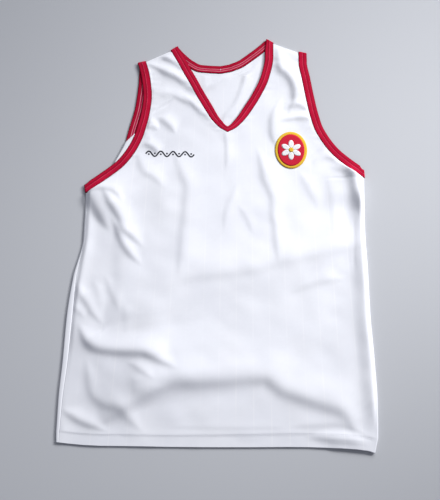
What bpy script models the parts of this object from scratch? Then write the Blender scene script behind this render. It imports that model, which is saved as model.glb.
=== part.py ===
"""A sleeveless V-neck jersey laid flat: a front and a back of light knit, bound at the neck and armholes.

Metres, +Z up. The hem faces -Y and the neck +Y. The back lies on z = 0 and the front lies on the back.
The tables give plan places: x from the middle of the hem, and y from the hem's lowest corner.
"""

from collections import namedtuple
import math

import bmesh
import bpy
from mathutils import Vector
from mathutils.bvhtree import BVHTree
import numpy as np

# Driving dimensions
LAY_MIDDLE = (0.0028, 0.3935)  # of the lay's outline, in the tables' places
KNIT = 0.0012  # wall of the knit
HEM_KNIT = 0.0018  # wall where the hem is turned up
HEM_EXTRA = (HEM_KNIT - KNIT) / 2  # what the hem adds on each side of the middle of the wall
HEM_STEP = 0.0025  # from the edge of the turned-up cloth to the single wall
SEAM_GAP = 0.0003
TUCK = 0.005  # how far the front runs under at its right side, to the side seam
BINDING_WIDTH = 0.016
BINDING_THICKNESS = 0.0022
BINDING_GROOVE = 0.0004  # depth of the stitched groove between the binding's two rolls
MITRE_WIDTH = 0.0118  # neck binding at the point of the V
MITRE_REACH = 0.070  # length over which it narrows to its mitre
BADGE_WIDTH = 0.060
BADGE_HEIGHT = 0.074
BADGE_THICKNESS = 0.0010
BADGE_CENTRE = (0.131, 0.554)
BADGE_LIFT = 0.0005  # over the front's outer face

# Heights of the middle of each wall
BACK_LEVEL = KNIT / 2
FRONT_LEVEL = 0.0029  # the front where it lies slack on the back
BOUND_LEVEL = 0.0036  # the front beside its bindings, which lie on the back's bindings
SHOULDER_LEVEL = 0.0021
BACK_BINDING_LEVEL = BINDING_THICKNESS / 2
FRONT_BINDING_LEVEL = BOUND_LEVEL

# Mesh
FRONT_COLUMNS = 20  # in each half
BACK_COLUMNS = 9
ROLL_STEPS = 5
FOLD_SAMPLES = 40
BADGE_RINGS = 4
BADGE_SPOKES = 28

# The tube of the body, hem to underarm; its second row is the upper edge of the turned-up hem. left and
# right are its outermost points, strip is how much of the back shows beside the front at the left, and
# the rolls are the radii of the folded sides.
HEM_ROW = 1
Tube = namedtuple(
    "Tube", "left_x left_y strip left_roll mid_x mid_y right_x right_y right_roll front_steps back_steps"
)
TUBE = [
    Tube(-0.270, 0.0090, 0.0045, 0.0011, 0.000, 0.0040, 0.270, 0.0000, 0.0016, 2, 1),
    Tube(-0.271, 0.0265, 0.0050, 0.0011, 0.000, 0.0250, 0.276, 0.0260, 0.0019, 1, 1),
    Tube(-0.271, 0.0290, 0.0055, 0.0011, 0.000, 0.0275, 0.276, 0.0285, 0.0019, 5, 1),
    Tube(-0.271, 0.0800, 0.0070, 0.0011, 0.000, 0.0840, 0.277, 0.0840, 0.0022, 8, 2),
    Tube(-0.268, 0.1500, 0.0090, 0.0011, 0.000, 0.1560, 0.274, 0.1600, 0.0024, 7, 2),
    Tube(-0.266, 0.2250, 0.0108, 0.0011, 0.001, 0.2340, 0.269, 0.2400, 0.0026, 5, 4),
    Tube(-0.259, 0.3000, 0.0074, 0.0011, 0.003, 0.3120, 0.267, 0.3200, 0.0026, 5, 4),
    Tube(-0.245, 0.3750, 0.0024, 0.0012, 0.005, 0.3920, 0.264, 0.4050, 0.0023, 7, 4),
    Tube(-0.245, 0.4620, 0.0024, 0.0012, 0.008, 0.4820, 0.265, 0.5010, 0.0015, 2, 1),
]

# Above the underarm left and right are the armhole seams.
Yoke = namedtuple("Yoke", "left_x left_y mid_x mid_y right_x right_y steps")
FRONT_YOKE = [
    Yoke(-0.211, 0.488, 0.009, 0.508, 0.242, 0.517, 2),
    Yoke(-0.177, 0.518, 0.010, 0.535, 0.209, 0.545, 2),
    Yoke(-0.156, 0.550, 0.011, 0.562, 0.189, 0.571, 2),
    Yoke(-0.145, 0.577, 0.012, 0.588, 0.174, 0.600, 1),
]
BACK_YOKE = [
    Yoke(-0.209, 0.484, 0.007, 0.520, 0.240, 0.517, 2),
    Yoke(-0.171, 0.527, 0.006, 0.570, 0.203, 0.550, 2),
    Yoke(-0.157, 0.588, 0.004, 0.625, 0.174, 0.597, 2),
    Yoke(-0.146, 0.640, 0.001, 0.675, 0.160, 0.650, 2),
    Yoke(-0.142, 0.690, -0.002, 0.711, 0.151, 0.700, 1),
]

# The straps, from the bottom of the neck opening to the shoulder. The neck columns are the neck seam.
Strap = namedtuple(
    "Strap", "left_x left_y neck_left_x neck_left_y neck_right_x neck_right_y right_x right_y steps"
)
FRONT_STRAPS = [
    Strap(-0.140, 0.597, -0.003, 0.5975, 0.027, 0.5965, 0.169, 0.617, 1),
    Strap(-0.136, 0.616, -0.018, 0.613, 0.043, 0.613, 0.165, 0.633, 3),
    Strap(-0.132, 0.657, -0.043, 0.654, 0.073, 0.662, 0.158, 0.668, 3),
    Strap(-0.136, 0.694, -0.065, 0.694, 0.090, 0.703, 0.152, 0.702, 2),
    Strap(-0.141, 0.717, -0.084, 0.729, 0.098, 0.746, 0.146, 0.736, 2),
    Strap(-0.146, 0.733, -0.099, 0.757, 0.098, 0.777, 0.146, 0.759, 1),
]
BACK_STRAPS = [
    Strap(-0.142, 0.703, -0.042, 0.713, 0.035, 0.723, 0.148, 0.716, 1),
    Strap(-0.142, 0.714, -0.064, 0.723, 0.058, 0.740, 0.146, 0.731, 1),
    Strap(-0.143, 0.724, -0.083, 0.739, 0.079, 0.758, 0.146, 0.745, 1),
    Strap(-0.146, 0.733, -0.099, 0.757, 0.098, 0.777, 0.146, 0.759, 1),
]

# The hem's lower edge isn't straight: its rise over the straight line between the corners and the middle
Rise = namedtuple("Rise", "x rise")
HEM_CURVE = [
    Rise(-0.270, 0.0), Rise(-0.250, -0.0015), Rise(-0.225, -0.0030), Rise(-0.195, -0.0034),
    Rise(-0.150, -0.0022), Rise(-0.080, -0.0010), Rise(-0.020, 0.0006), Rise(0.067, 0.0034),
    Rise(0.120, 0.0055), Rise(0.155, 0.0064), Rise(0.190, 0.0064), Rise(0.216, 0.0059),
    Rise(0.240, 0.0050), Rise(0.260, 0.0030), Rise(0.270, 0.0),
]
HEM_CURVE_LOW = 0.025  # up to here the cloth follows the curve
HEM_CURVE_HIGH = 0.090  # and from here it doesn't

# Directions of the bindings' folded ends, from the seam to the free edge
LEFT_UNDERARM_FOLD = (-0.17, 0.98)
RIGHT_UNDERARM_FOLD = (-0.06, 1.00)
LEFT_TIP_FOLD = (-0.97, -0.25)
RIGHT_TIP_FOLD = (0.98, -0.20)
LEFT_NECK_FOLD = (0.81, 0.58)
RIGHT_NECK_FOLD = (-0.86, 0.51)
MITRE_FOLD = (0.0, 1.0)
FOLD_BLEND = 0.025  # length over which a binding turns from square to its seam to its fold

# Which way each folded end of a binding bulges
LEFT_NECK_OUTWARD = (-0.58, 0.81)
RIGHT_NECK_OUTWARD = (0.51, 0.86)
SHOULDER_OUTWARD = (0.0, 1.0)
LEFT_UNDERARM_OUTWARD = (-1.0, 0.0)
RIGHT_UNDERARM_OUTWARD = (1.0, 0.0)

# The largest folds of the front. Each path follows a fold's steep flank, with the crest on the left of its
# run: steep and gentle are the widths of the flank and of the fall behind it.
Fold = namedtuple("Fold", "name height steep gentle path")
FOLDS = [
    Fold("low left sweep", 0.0075, 0.010, 0.030,
         ((-0.241, 0.202), (-0.231, 0.182), (-0.214, 0.169), (-0.190, 0.164), (-0.160, 0.162),
          (-0.133, 0.161), (-0.117, 0.156), (-0.100, 0.148), (-0.080, 0.140), (-0.056, 0.134))),
    Fold("hem arch", 0.0080, 0.011, 0.045,
         ((-0.192, 0.042), (-0.152, 0.066), (-0.116, 0.088), (-0.080, 0.106), (-0.054, 0.110),
          (-0.021, 0.110), (0.020, 0.114), (0.061, 0.118), (0.096, 0.110), (0.131, 0.091),
          (0.170, 0.079), (0.208, 0.067), (0.222, 0.056), (0.232, 0.038))),
    Fold("hem wave left", 0.0034, 0.009, 0.024,
         ((-0.230, 0.140), (-0.229, 0.119), (-0.225, 0.098), (-0.211, 0.078), (-0.190, 0.070),
          (-0.168, 0.065), (-0.151, 0.049), (-0.134, 0.035))),
    Fold("hem corner left", 0.0034, 0.009, 0.018,
         ((-0.264, 0.063), (-0.248, 0.052), (-0.232, 0.043), (-0.213, 0.036), (-0.190, 0.030))),
    Fold("low left hollow", 0.0045, 0.032, 0.040,
         ((-0.192, 0.180), (-0.188, 0.145), (-0.180, 0.110), (-0.165, 0.070))),
    Fold("left chest slant", 0.0060, 0.009, 0.024,
         ((-0.214, 0.465), (-0.203, 0.441), (-0.183, 0.409), (-0.158, 0.376), (-0.143, 0.363))),
    Fold("left chest slant, lower", 0.0040, 0.009, 0.018,
         ((-0.196, 0.412), (-0.183, 0.380), (-0.162, 0.345), (-0.143, 0.328))),
    Fold("left underarm", 0.0090, 0.010, 0.026,
         ((-0.256, 0.482), (-0.238, 0.448), (-0.214, 0.410), (-0.203, 0.393))),
    Fold("left side dent", 0.0026, 0.009, 0.020,
         ((-0.251, 0.286), (-0.246, 0.268), (-0.233, 0.250), (-0.223, 0.234), (-0.205, 0.216))),
    Fold("left chest upright", 0.0024, 0.010, 0.028,
         ((-0.086, 0.538), (-0.064, 0.472), (-0.067, 0.415), (-0.070, 0.385), (-0.073, 0.315))),
    Fold("left chest hook", 0.0022, 0.009, 0.022,
         ((-0.155, 0.543), (-0.150, 0.517), (-0.140, 0.501), (-0.124, 0.492), (-0.106, 0.475))),
    Fold("right chest upright", 0.0026, 0.009, 0.022,
         ((0.069, 0.545), (0.078, 0.495), (0.094, 0.453), (0.098, 0.403), (0.104, 0.345))),
    Fold("left strap dent", 0.0035, 0.009, 0.018,
         ((-0.121, 0.615), (-0.108, 0.606), (-0.097, 0.596), (-0.087, 0.585))),
    Fold("left strap slant", 0.0055, 0.009, 0.018,
         ((-0.140, 0.727), (-0.105, 0.706), (-0.083, 0.695), (-0.066, 0.683), (-0.040, 0.656))),
    Fold("left shoulder slant", 0.0040, 0.009, 0.016,
         ((-0.128, 0.747), (-0.106, 0.738), (-0.083, 0.722), (-0.070, 0.710))),
    Fold("left neck slant", 0.0035, 0.009, 0.016,
         ((-0.090, 0.660), (-0.058, 0.645), (-0.030, 0.620), (-0.018, 0.608))),
    Fold("right strap slant", 0.0065, 0.010, 0.022,
         ((0.104, 0.770), (0.103, 0.736), (0.108, 0.720), (0.130, 0.694), (0.135, 0.658),
          (0.129, 0.640))),
    Fold("right strap upright", 0.0030, 0.009, 0.024,
         ((0.108, 0.655), (0.092, 0.612), (0.094, 0.580), (0.103, 0.562))),
    Fold("right underarm", 0.0085, 0.011, 0.018,
         ((0.228, 0.530), (0.241, 0.496), (0.252, 0.455), (0.262, 0.433), (0.270, 0.415))),
    Fold("right underarm pucker", 0.0050, 0.009, 0.016,
         ((0.205, 0.519), (0.220, 0.515), (0.234, 0.509), (0.246, 0.503), (0.260, 0.499))),
    Fold("right side ridge", 0.0024, 0.010, 0.018,
         ((0.244, 0.470), (0.245, 0.427), (0.243, 0.360), (0.243, 0.286), (0.245, 0.213),
          (0.247, 0.159), (0.251, 0.116), (0.260, 0.081), (0.268, 0.047), (0.272, 0.020))),
    Fold("waist break", 0.0025, 0.010, 0.050,
         ((-0.190, 0.214), (-0.144, 0.239), (-0.103, 0.270), (-0.054, 0.298), (-0.001, 0.306),
          (0.053, 0.313), (0.121, 0.333), (0.175, 0.345), (0.227, 0.359), (0.262, 0.367))),
    Fold("waist break, lower", 0.0045, 0.028, 0.070,
         ((-0.250, 0.150), (-0.200, 0.180), (-0.144, 0.210), (-0.095, 0.242), (-0.045, 0.270),
          (0.000, 0.280), (0.060, 0.290), (0.130, 0.312), (0.190, 0.330), (0.250, 0.345))),
    Fold("hem swell right", 0.0016, 0.009, 0.018,
         ((0.130, 0.041), (0.170, 0.043), (0.205, 0.045), (0.228, 0.041), (0.252, 0.031))),
]
# Both ends of a fold run straight on and die away. They narrow too, but for the broad folds
RUN_OUT_SHARE = 0.12  # of its length
RUN_OUT_LONGEST = 0.020
END_SHARE = 0.38
END_LONGEST = 0.060
END_STEEP = 0.6  # width left at the ends
END_GENTLE = 0.4
BROAD = 0.014  # the least width of a broad fold's flank
EDGE_EASE = 0.030  # distance over which the front rises or falls to its edges
FOLD_FADE = 0.020  # distance from an edge over which the folds rise to their full height
NECK_FADE = 0.020
NECK_SHARE = 0.6  # of a fold's height that is left where it runs under the neck's binding
NECK_END_EASE = 0.030
SHOULDER_EASE = 0.010


def smooth(values, at):
    """A monotone cubic curve through one value a knot, read at fractions of the knots."""
    values = np.asarray(values, float)
    steps = np.diff(values)
    slopes = np.zeros_like(values)
    product = steps[:-1] * steps[1:]
    total = np.where(product > 0, steps[:-1] + steps[1:], 1.0)
    slopes[1:-1] = np.where(product > 0, 2 * product / total, 0.0)
    slopes[0] = steps[0]
    slopes[-1] = steps[-1]
    low = np.clip(np.floor(at).astype(int), 0, len(steps) - 1)
    t = at - low
    return (
        values[low] * (1 + 2 * t) * (1 - t) ** 2
        + slopes[low] * t * (1 - t) ** 2
        + values[low + 1] * t**2 * (3 - 2 * t)
        + slopes[low + 1] * t**2 * (t - 1)
    )


def smooth_step(share):
    share = np.clip(share, 0.0, 1.0)
    return share * share * (3 - 2 * share)


def smooth_line(points, count):
    """Points spread evenly by number on a smooth line through the given ones."""
    at = np.linspace(0, len(points) - 1, count)
    return np.column_stack([smooth([p[axis] for p in points], at) for axis in (0, 1)])


def row_places(step_counts):
    """Where the mesh rows lie, in fractions of the table's rows."""
    places = [row + part / steps for row, steps in enumerate(step_counts[:-1]) for part in range(steps)]
    return np.array(places + [len(step_counts) - 1.0])


def column(rows, x_name, y_name, at):
    """Plan points read from two named columns of table rows."""
    return np.column_stack(
        [smooth([getattr(row, name) for row in rows], at) for name in (x_name, y_name)]
    )


class Lay:
    """One panel's plan: the edge and inner points of each mesh row of its left and its right half."""

    def __init__(self, yoke, straps, tube_steps, pointed):
        """A pointed neck has a corner at its lowest place, and any other runs smoothly through it."""
        underarm = len(TUBE) - 1
        bottom = underarm + len(yoke)
        steps = [getattr(row, tube_steps) for row in TUBE] + [row.steps for row in yoke + straps]
        at = row_places(steps)
        self.tube_at = at[at <= underarm]
        self.underarm = len(self.tube_at) - 1
        self.neck = int(np.sum(at <= bottom)) - 1
        above = at[at > underarm] - underarm
        self.edges = {}
        self.inner = {}
        lowest = yoke[-1]
        first = Strap(0, 0, lowest.mid_x, lowest.mid_y, lowest.mid_x, lowest.mid_y, 0, 0, 1)
        over = straps[0]
        ahead = (over.neck_right_x, over.neck_right_y, over.neck_left_x, over.neck_left_y)
        beyond = Strap(0, 0, *ahead, 0, 0, 1)
        before = [] if pointed else [beyond]
        for side in ("left", "right"):
            names = (side + "_x", side + "_y")
            tube_edge = column(TUBE, *names, self.tube_at)
            armhole = column(TUBE[-1:] + yoke + straps, *names, above)
            self.edges[side] = np.vstack([tube_edge, armhole])
            middle = column(TUBE + yoke, "mid_x", "mid_y", at[at <= bottom])
            neck = ("neck_" + names[0], "neck_" + names[1])
            seam = column(before + [first] + straps, *neck, at[at > bottom] - bottom + len(before))
            self.inner[side] = np.vstack([middle, seam])

    def tube_column(self, name):
        """A column of the tube's table, read for the rows up to the underarm."""
        return smooth([getattr(row, name) for row in TUBE], self.tube_at)

    def armhole_seam(self, side):
        return self.edges[side][self.underarm :]

    def neck_seam(self, side):
        return self.inner[side][self.neck :]


FRONT = Lay(FRONT_YOKE, FRONT_STRAPS, "front_steps", pointed=True)
BACK = Lay(BACK_YOKE, BACK_STRAPS, "back_steps", pointed=False)


def unit(vector):
    vector = np.asarray(vector, float)
    return vector / np.linalg.norm(vector, axis=-1, keepdims=True)


def lengths_along(points):
    return np.concatenate([[0.0], np.cumsum(np.linalg.norm(np.diff(points, axis=0), axis=1))])


def hem_rise(x):
    return np.interp(x, [row.x for row in HEM_CURVE], [row.rise for row in HEM_CURVE])


def grid_between(edge, inner, columns):
    """Plan points in straight rows from the edge points to the inner points."""
    share = np.linspace(0, 1, columns + 1)[None, :, None]
    plan = edge[:, None, :] * (1 - share) + inner[:, None, :] * share
    share = (plan[..., 1] - HEM_CURVE_LOW) / (HEM_CURVE_HIGH - HEM_CURVE_LOW)
    plan[..., 1] += hem_rise(plan[..., 0]) * (1 - smooth_step(share))
    return plan


def along_line(points, line):
    """For plan points: signed distance to a line, positive on the left of its run, and the place along it."""
    run = np.diff(line, axis=0)
    length = np.linalg.norm(run, axis=1)
    start = lengths_along(line)
    away = points[:, None] - line[:-1]
    share = np.clip((away * run).sum(axis=2) / length**2, 0, 1)
    gap = away - share[..., None] * run
    distance = np.linalg.norm(gap, axis=2)
    nearest = distance.argmin(axis=1)
    every = np.arange(len(points))
    side = np.sign(run[nearest, 0] * away[every, nearest, 1] - run[nearest, 1] * away[every, nearest, 0])
    place = start[nearest] + share[every, nearest] * length[nearest]
    return side * distance[every, nearest], place, start[-1]


def fold_line(path):
    """A fold's smooth line, which runs straight on at both ends."""
    line = smooth_line(path, FOLD_SAMPLES)
    reach = min(RUN_OUT_SHARE * lengths_along(line)[-1], RUN_OUT_LONGEST)
    start = line[0] + unit(line[0] - line[1]) * reach
    end = line[-1] + unit(line[-1] - line[-2]) * reach
    return np.vstack([start, line, end])


def fold_heights(plan):
    """What the folds add to the front's height at plan points of any array shape."""
    flat = plan.reshape(-1, 2)
    added = np.zeros(len(flat))
    for fold in FOLDS:
        across, place, length = along_line(flat, fold_line(fold.path))
        ends = smooth_step(np.minimum(place, length - place) / min(END_SHARE * length, END_LONGEST))
        narrow = ends if fold.steep < BROAD else 1.0
        steep = fold.steep * (END_STEEP + (1 - END_STEEP) * narrow)
        gentle = fold.gentle * (END_GENTLE + (1 - END_GENTLE) * narrow)
        flank = (1 + np.tanh(across / steep)) / 2
        added += fold.height * ends * flank * np.exp(-((np.maximum(across, 0) / gentle) ** 2))
    return added.reshape(plan.shape[:-1])


def neck_level(seam):
    """The middle of the front's neck binding, which the folds that run under it lift."""
    ends = smooth_step(np.linalg.norm(seam - seam[-1], axis=1) / NECK_END_EASE)
    return FRONT_BINDING_LEVEL + NECK_SHARE * fold_heights(seam) * ends


def front_half(side):
    """The middle surface of one half of the front, rows by columns by (x, y, z)."""
    edge = FRONT.edges[side].copy()
    rows = FRONT.underarm + 1
    edge_level = np.full(len(edge), BOUND_LEVEL)
    if side == "left":
        edge[:rows, 0] += FRONT.tube_column("strip")
    else:
        edge[:rows, 0] -= FRONT.tube_column("right_roll")
    edge_level[:rows] = BACK_LEVEL + 2 * FRONT.tube_column(side + "_roll")
    plan = grid_between(edge, FRONT.inner[side], FRONT_COLUMNS)
    from_edge = np.linalg.norm(plan - plan[:, :1], axis=2)
    neck_point = FRONT.inner[side][np.maximum(np.arange(len(plan)), FRONT.neck)]
    from_neck = np.linalg.norm(plan - neck_point[:, None], axis=2)
    from_shoulder = np.linalg.norm(plan - plan[-1:], axis=2)
    edge_rise = (edge_level[:, None] - FRONT_LEVEL) * (1 - smooth_step(from_edge / EDGE_EASE))
    neck_rise = (BOUND_LEVEL - FRONT_LEVEL) * (1 - smooth_step(from_neck / EDGE_EASE))
    neck_fade = NECK_SHARE + (1 - NECK_SHARE) * smooth_step(from_neck / NECK_FADE)
    neck_fade = np.where(np.arange(len(plan))[:, None] < FRONT.neck, 1.0, neck_fade)
    fade = smooth_step(from_edge / FOLD_FADE) * neck_fade
    level = FRONT_LEVEL + np.maximum(edge_rise, neck_rise) + fold_heights(plan) * fade
    eased = smooth_step(from_shoulder / SHOULDER_EASE)
    level = SHOULDER_LEVEL * (1 - eased) + level * eased
    level += hem_share(plan) * HEM_EXTRA
    return np.dstack([plan, level])


def hem_share(plan):
    """1 on the turned-up hem, 0 above it."""
    above = [TUBE[HEM_ROW].left_y, TUBE[HEM_ROW].mid_y, TUBE[HEM_ROW].right_y]
    hem_line = np.interp(plan[..., 0], [TUBE[0].left_x, TUBE[0].mid_x, TUBE[0].right_x], above)
    return (plan[..., 1] < hem_line + hem_rise(plan[..., 0]) + HEM_STEP / 2).astype(float)


def roll(top, outward, radius, angles):
    """Rows of points round a folded side, from the top wall's point at 90 degrees down to -90 degrees."""
    turned = [
        np.column_stack(
            [
                top[:, 0] + outward * radius * math.cos(angle),
                top[:, 1],
                top[:, 2] - radius + radius * math.sin(angle),
            ]
        )
        for angle in angles
    ]
    return np.stack(turned, axis=1)


def front_patches():
    """The front's middle surface: two halves and the roll round its right side to the side seam."""
    left = front_half("left")
    right = front_half("right")
    rows = FRONT.underarm + 1
    top = right[:rows, 0]
    radius = (top[:, 2] - BACK_LEVEL - hem_share(top) * HEM_EXTRA) / 2
    side_roll = roll(top, 1, radius, np.linspace(math.pi / 2, -math.pi / 2, ROLL_STEPS + 1))
    under = side_roll[:, -1].copy()
    under[:, 0] -= TUCK
    return [left, right, np.concatenate([side_roll, under[:, None]], axis=1)]


def back_patches():
    """The back's middle surface: two flat halves and the roll up round its left side to the side seam."""
    rows = BACK.underarm + 1
    radius = BACK.tube_column("left_roll")
    halves = []
    for side in ("left", "right"):
        edge = BACK.edges[side].copy()
        if side == "left":
            edge[:rows, 0] += radius
        else:
            edge[:rows, 0] -= BACK.tube_column("right_roll") + TUCK + SEAM_GAP
        plan = grid_between(edge, BACK.inner[side], BACK_COLUMNS)
        level = BACK_LEVEL + hem_share(plan) * HEM_EXTRA
        halves.append(np.dstack([plan, level]))
    top = halves[0][:rows, 0].copy()
    top[:, 2] += 2 * radius
    side_roll = roll(top, -1, radius, np.linspace(-math.pi / 2, math.pi / 2, ROLL_STEPS + 1))
    over = side_roll[:, -1].copy()
    over[:, 0] += BACK.tube_column("strip") - radius - SEAM_GAP
    return halves + [np.concatenate([side_roll, over[:, None]], axis=1)]


def placed(points):
    """Points of the tables moved to the object's own frame, whose origin is the middle of its underside."""
    return np.asarray(points, float) - (*LAY_MIDDLE, 0.0)


def material(name, colour, roughness):
    made = bpy.data.materials.new(name)
    made.use_nodes = True
    shader = made.node_tree.nodes["Principled BSDF"]
    shader.inputs["Base Color"].default_value = (*colour, 1.0)
    shader.inputs["Roughness"].default_value = roughness
    shader.inputs["Metallic"].default_value = 0.0
    return made


def add_object(name, bm, finish):
    """A smooth-shaded object of the mesh under construction."""
    mesh = bpy.data.meshes.new(name)
    bm.to_mesh(mesh)
    bm.free()
    mesh.shade_smooth()
    mesh.materials.append(finish)
    made = bpy.data.objects.new(name, mesh)
    bpy.context.scene.collection.objects.link(made)
    return made


def add_panel(name, patches, finish):
    """A panel of cloth: its patches joined to one surface, facing up, and given the wall's thickness."""
    bm = bmesh.new()
    for patch in patches:
        points = [[bm.verts.new(point) for point in row] for row in placed(patch)]
        for low, high in zip(points, points[1:]):
            for c in range(len(low) - 1):
                bm.faces.new((low[c], low[c + 1], high[c + 1], high[c]))
    bmesh.ops.remove_doubles(bm, verts=bm.verts, dist=1e-6)
    bmesh.ops.recalc_face_normals(bm, faces=bm.faces)
    made = add_object(name, bm, finish)
    hem = made.vertex_groups.new(name="hem")
    points = np.array([vertex.co for vertex in made.data.vertices]) + (*LAY_MIDDLE, 0.0)
    for index in np.flatnonzero(hem_share(points)):
        hem.add([int(index)], 1.0, "REPLACE")
    wall = made.modifiers.new("wall", "SOLIDIFY")
    wall.thickness = HEM_KNIT
    wall.offset = 0.0
    wall.vertex_group = "hem"
    wall.thickness_vertex_group = KNIT / HEM_KNIT
    return made


# A binding's section, from its seam edge: (share of the width, height over the middle in half thicknesses)
GROOVE_PLACE = 0.5
OUTER_FACE = [
    (0.0, 0.45), (0.10, 0.9), (0.28, 1.0), (GROOVE_PLACE, 1.0), (0.72, 1.0), (0.90, 0.9), (1.0, 0.45),
]
INNER_FACE = [(1.0, -0.45), (0.88, -1.0), (0.12, -1.0), (0.0, -0.45)]


def binding_profile(rests):
    """(share of the width, height over the middle) round a binding's section, seam edge first."""
    half = BINDING_THICKNESS / 2
    groove = 0.0 if rests else BINDING_GROOVE
    section = [(share, height * half) for share, height in OUTER_FACE + INNER_FACE]
    return [(share, height - groove if share == GROOVE_PLACE else height) for share, height in section]


Station = namedtuple("Station", "point across normal width rests")


def widths_along(seam, free_side, start, end):
    """Unit plan directions across a binding: square to its seam, and turned to its folds at both ends.

    free_side is 1 where the free edge is on the left of the seam's run, else -1.
    """
    run = unit(np.gradient(seam, axis=0))
    across = np.column_stack([-run[:, 1], run[:, 0]]) * free_side
    length = lengths_along(seam)
    for fold, distance in ((start, length), (end, length[-1] - length)):
        share = smooth_step(1 - distance / FOLD_BLEND)[:, None]
        across = unit(across * (1 - share) + unit(fold) * share)
    return across


def mitred(seam):
    """Widths of a binding that narrows towards its mitre at the start of its seam."""
    share = smooth_step(lengths_along(seam) / MITRE_REACH)
    return MITRE_WIDTH + (BINDING_WIDTH - MITRE_WIDTH) * share


def arc_stations(seam, across, level, rests, width=BINDING_WIDTH):
    """Stations along one layer of a binding, whose inner or outer face lies up."""
    normal = np.array([0.0, 0.0, -1.0 if rests else 1.0])
    widths = np.broadcast_to(width, len(seam))
    levels = np.broadcast_to(level, len(seam))
    edges = np.column_stack([seam + across * SEAM_GAP, levels])
    flat = np.column_stack([across, np.zeros(len(seam))])
    return [Station(*parts, normal, w, rests) for *parts, w in zip(edges, flat, widths)]


def fold_stations(last, following, outward):
    """The stations that take a binding round its fold from one layer to the other."""
    turn = [math.pi / 4, 0.0, -math.pi / 4]
    if last.point[2] < following.point[2]:
        turn.reverse()
    centre = (last.point[2] + following.point[2]) / 2
    radius = abs(last.point[2] - following.point[2]) / 2
    away = np.array([*unit(outward), 0.0])
    made = []
    for angle in turn:
        normal = away * math.cos(angle) + np.array([0.0, 0.0, math.sin(angle)])
        point = np.array([last.point[0], last.point[1], centre]) + normal * radius
        made.append(Station(point, last.across, normal, last.width, False))
    return made


def add_binding(name, stations, finish):
    """A closed ring swept through its stations."""
    bm = bmesh.new()
    rings = []
    for s in stations:
        profile = binding_profile(s.rests)
        section = [s.point + s.across * s.width * share + s.normal * height for share, height in profile]
        rings.append([bm.verts.new(corner) for corner in placed(section)])
    for ring, following in zip(rings, rings[1:] + rings[:1]):
        for c in range(len(ring)):
            after = (c + 1) % len(ring)
            bm.faces.new((ring[c], ring[after], following[after], following[c]))
    bmesh.ops.recalc_face_normals(bm, faces=bm.faces)
    return add_object(name, bm, finish)


def armhole_stations(side, underarm_fold, tip_fold, outward):
    """Up the front's armhole seam, over the shoulder tip, down the back's seam and round the underarm."""
    free_side = 1 if side == "left" else -1
    front_seam = FRONT.armhole_seam(side)
    back_seam = BACK.armhole_seam(side)
    front_across = widths_along(front_seam, free_side, underarm_fold, tip_fold)
    back_across = widths_along(back_seam, free_side, underarm_fold, tip_fold)
    front = arc_stations(front_seam, front_across, FRONT_BINDING_LEVEL, False)
    back = arc_stations(back_seam, back_across, BACK_BINDING_LEVEL, True)[::-1]
    over_shoulder = fold_stations(front[-1], back[0], SHOULDER_OUTWARD)
    round_underarm = fold_stations(back[-1], front[0], outward)
    return front + over_shoulder + back + round_underarm


def neck_stations():
    """From the point of the V up the left side, along the back's neck and down the right side."""
    left_seam = FRONT.neck_seam("left")
    right_seam = FRONT.neck_seam("right")
    back_left = BACK.neck_seam("left")
    back_right = BACK.neck_seam("right")
    left_across = widths_along(left_seam, -1, MITRE_FOLD, LEFT_NECK_FOLD)
    right_across = widths_along(right_seam, 1, MITRE_FOLD, RIGHT_NECK_FOLD)
    left = arc_stations(left_seam, left_across, neck_level(left_seam), False, mitred(left_seam))
    right = arc_stations(right_seam, right_across, neck_level(right_seam), False, mitred(right_seam))[::-1]
    back_seam = np.vstack([back_left[::-1], back_right[1:]])
    back_across = widths_along(back_seam, 1, LEFT_NECK_FOLD, RIGHT_NECK_FOLD)
    back = arc_stations(back_seam, back_across, BACK_BINDING_LEVEL, True)
    left_fold = fold_stations(left[-1], back[0], LEFT_NECK_OUTWARD)
    right_fold = fold_stations(back[-1], right[0], RIGHT_NECK_OUTWARD)
    return left + left_fold + back + right_fold + right[:-1]


def add_badge(front, finish):
    """An upright oval patch whose two faces follow the front's outer face under it."""
    graph = bpy.context.evaluated_depsgraph_get()
    cloth = BVHTree.FromObject(front, graph)
    centre_x, centre_y, _ = placed([*BADGE_CENTRE, 0.0])
    bm = bmesh.new()

    def face_point(ring, spoke, lift):
        angle = math.tau * spoke / BADGE_SPOKES
        share = ring / BADGE_RINGS
        x = centre_x + share * BADGE_WIDTH / 2 * math.sin(angle)
        y = centre_y + share * BADGE_HEIGHT / 2 * math.cos(angle)
        hit = cloth.ray_cast(Vector((x, y, 1.0)), Vector((0.0, 0.0, -1.0)))[0]
        return bm.verts.new((x, y, hit.z + lift))

    rims = []
    for lift in (BADGE_LIFT, BADGE_LIFT + BADGE_THICKNESS):
        middle = face_point(0, 0, lift)
        rings = [
            [face_point(ring, spoke, lift) for spoke in range(BADGE_SPOKES)]
            for ring in range(1, BADGE_RINGS + 1)
        ]
        for spoke in range(BADGE_SPOKES):
            after = (spoke + 1) % BADGE_SPOKES
            bm.faces.new((middle, rings[0][spoke], rings[0][after]))
            for near, far in zip(rings, rings[1:]):
                bm.faces.new((near[spoke], far[spoke], far[after], near[after]))
        rims.append(rings[-1])
    for spoke in range(BADGE_SPOKES):
        after = (spoke + 1) % BADGE_SPOKES
        bm.faces.new((rims[0][spoke], rims[0][after], rims[1][after], rims[1][spoke]))
    bmesh.ops.recalc_face_normals(bm, faces=bm.faces)
    return add_object("chest_badge", bm, finish)


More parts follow.
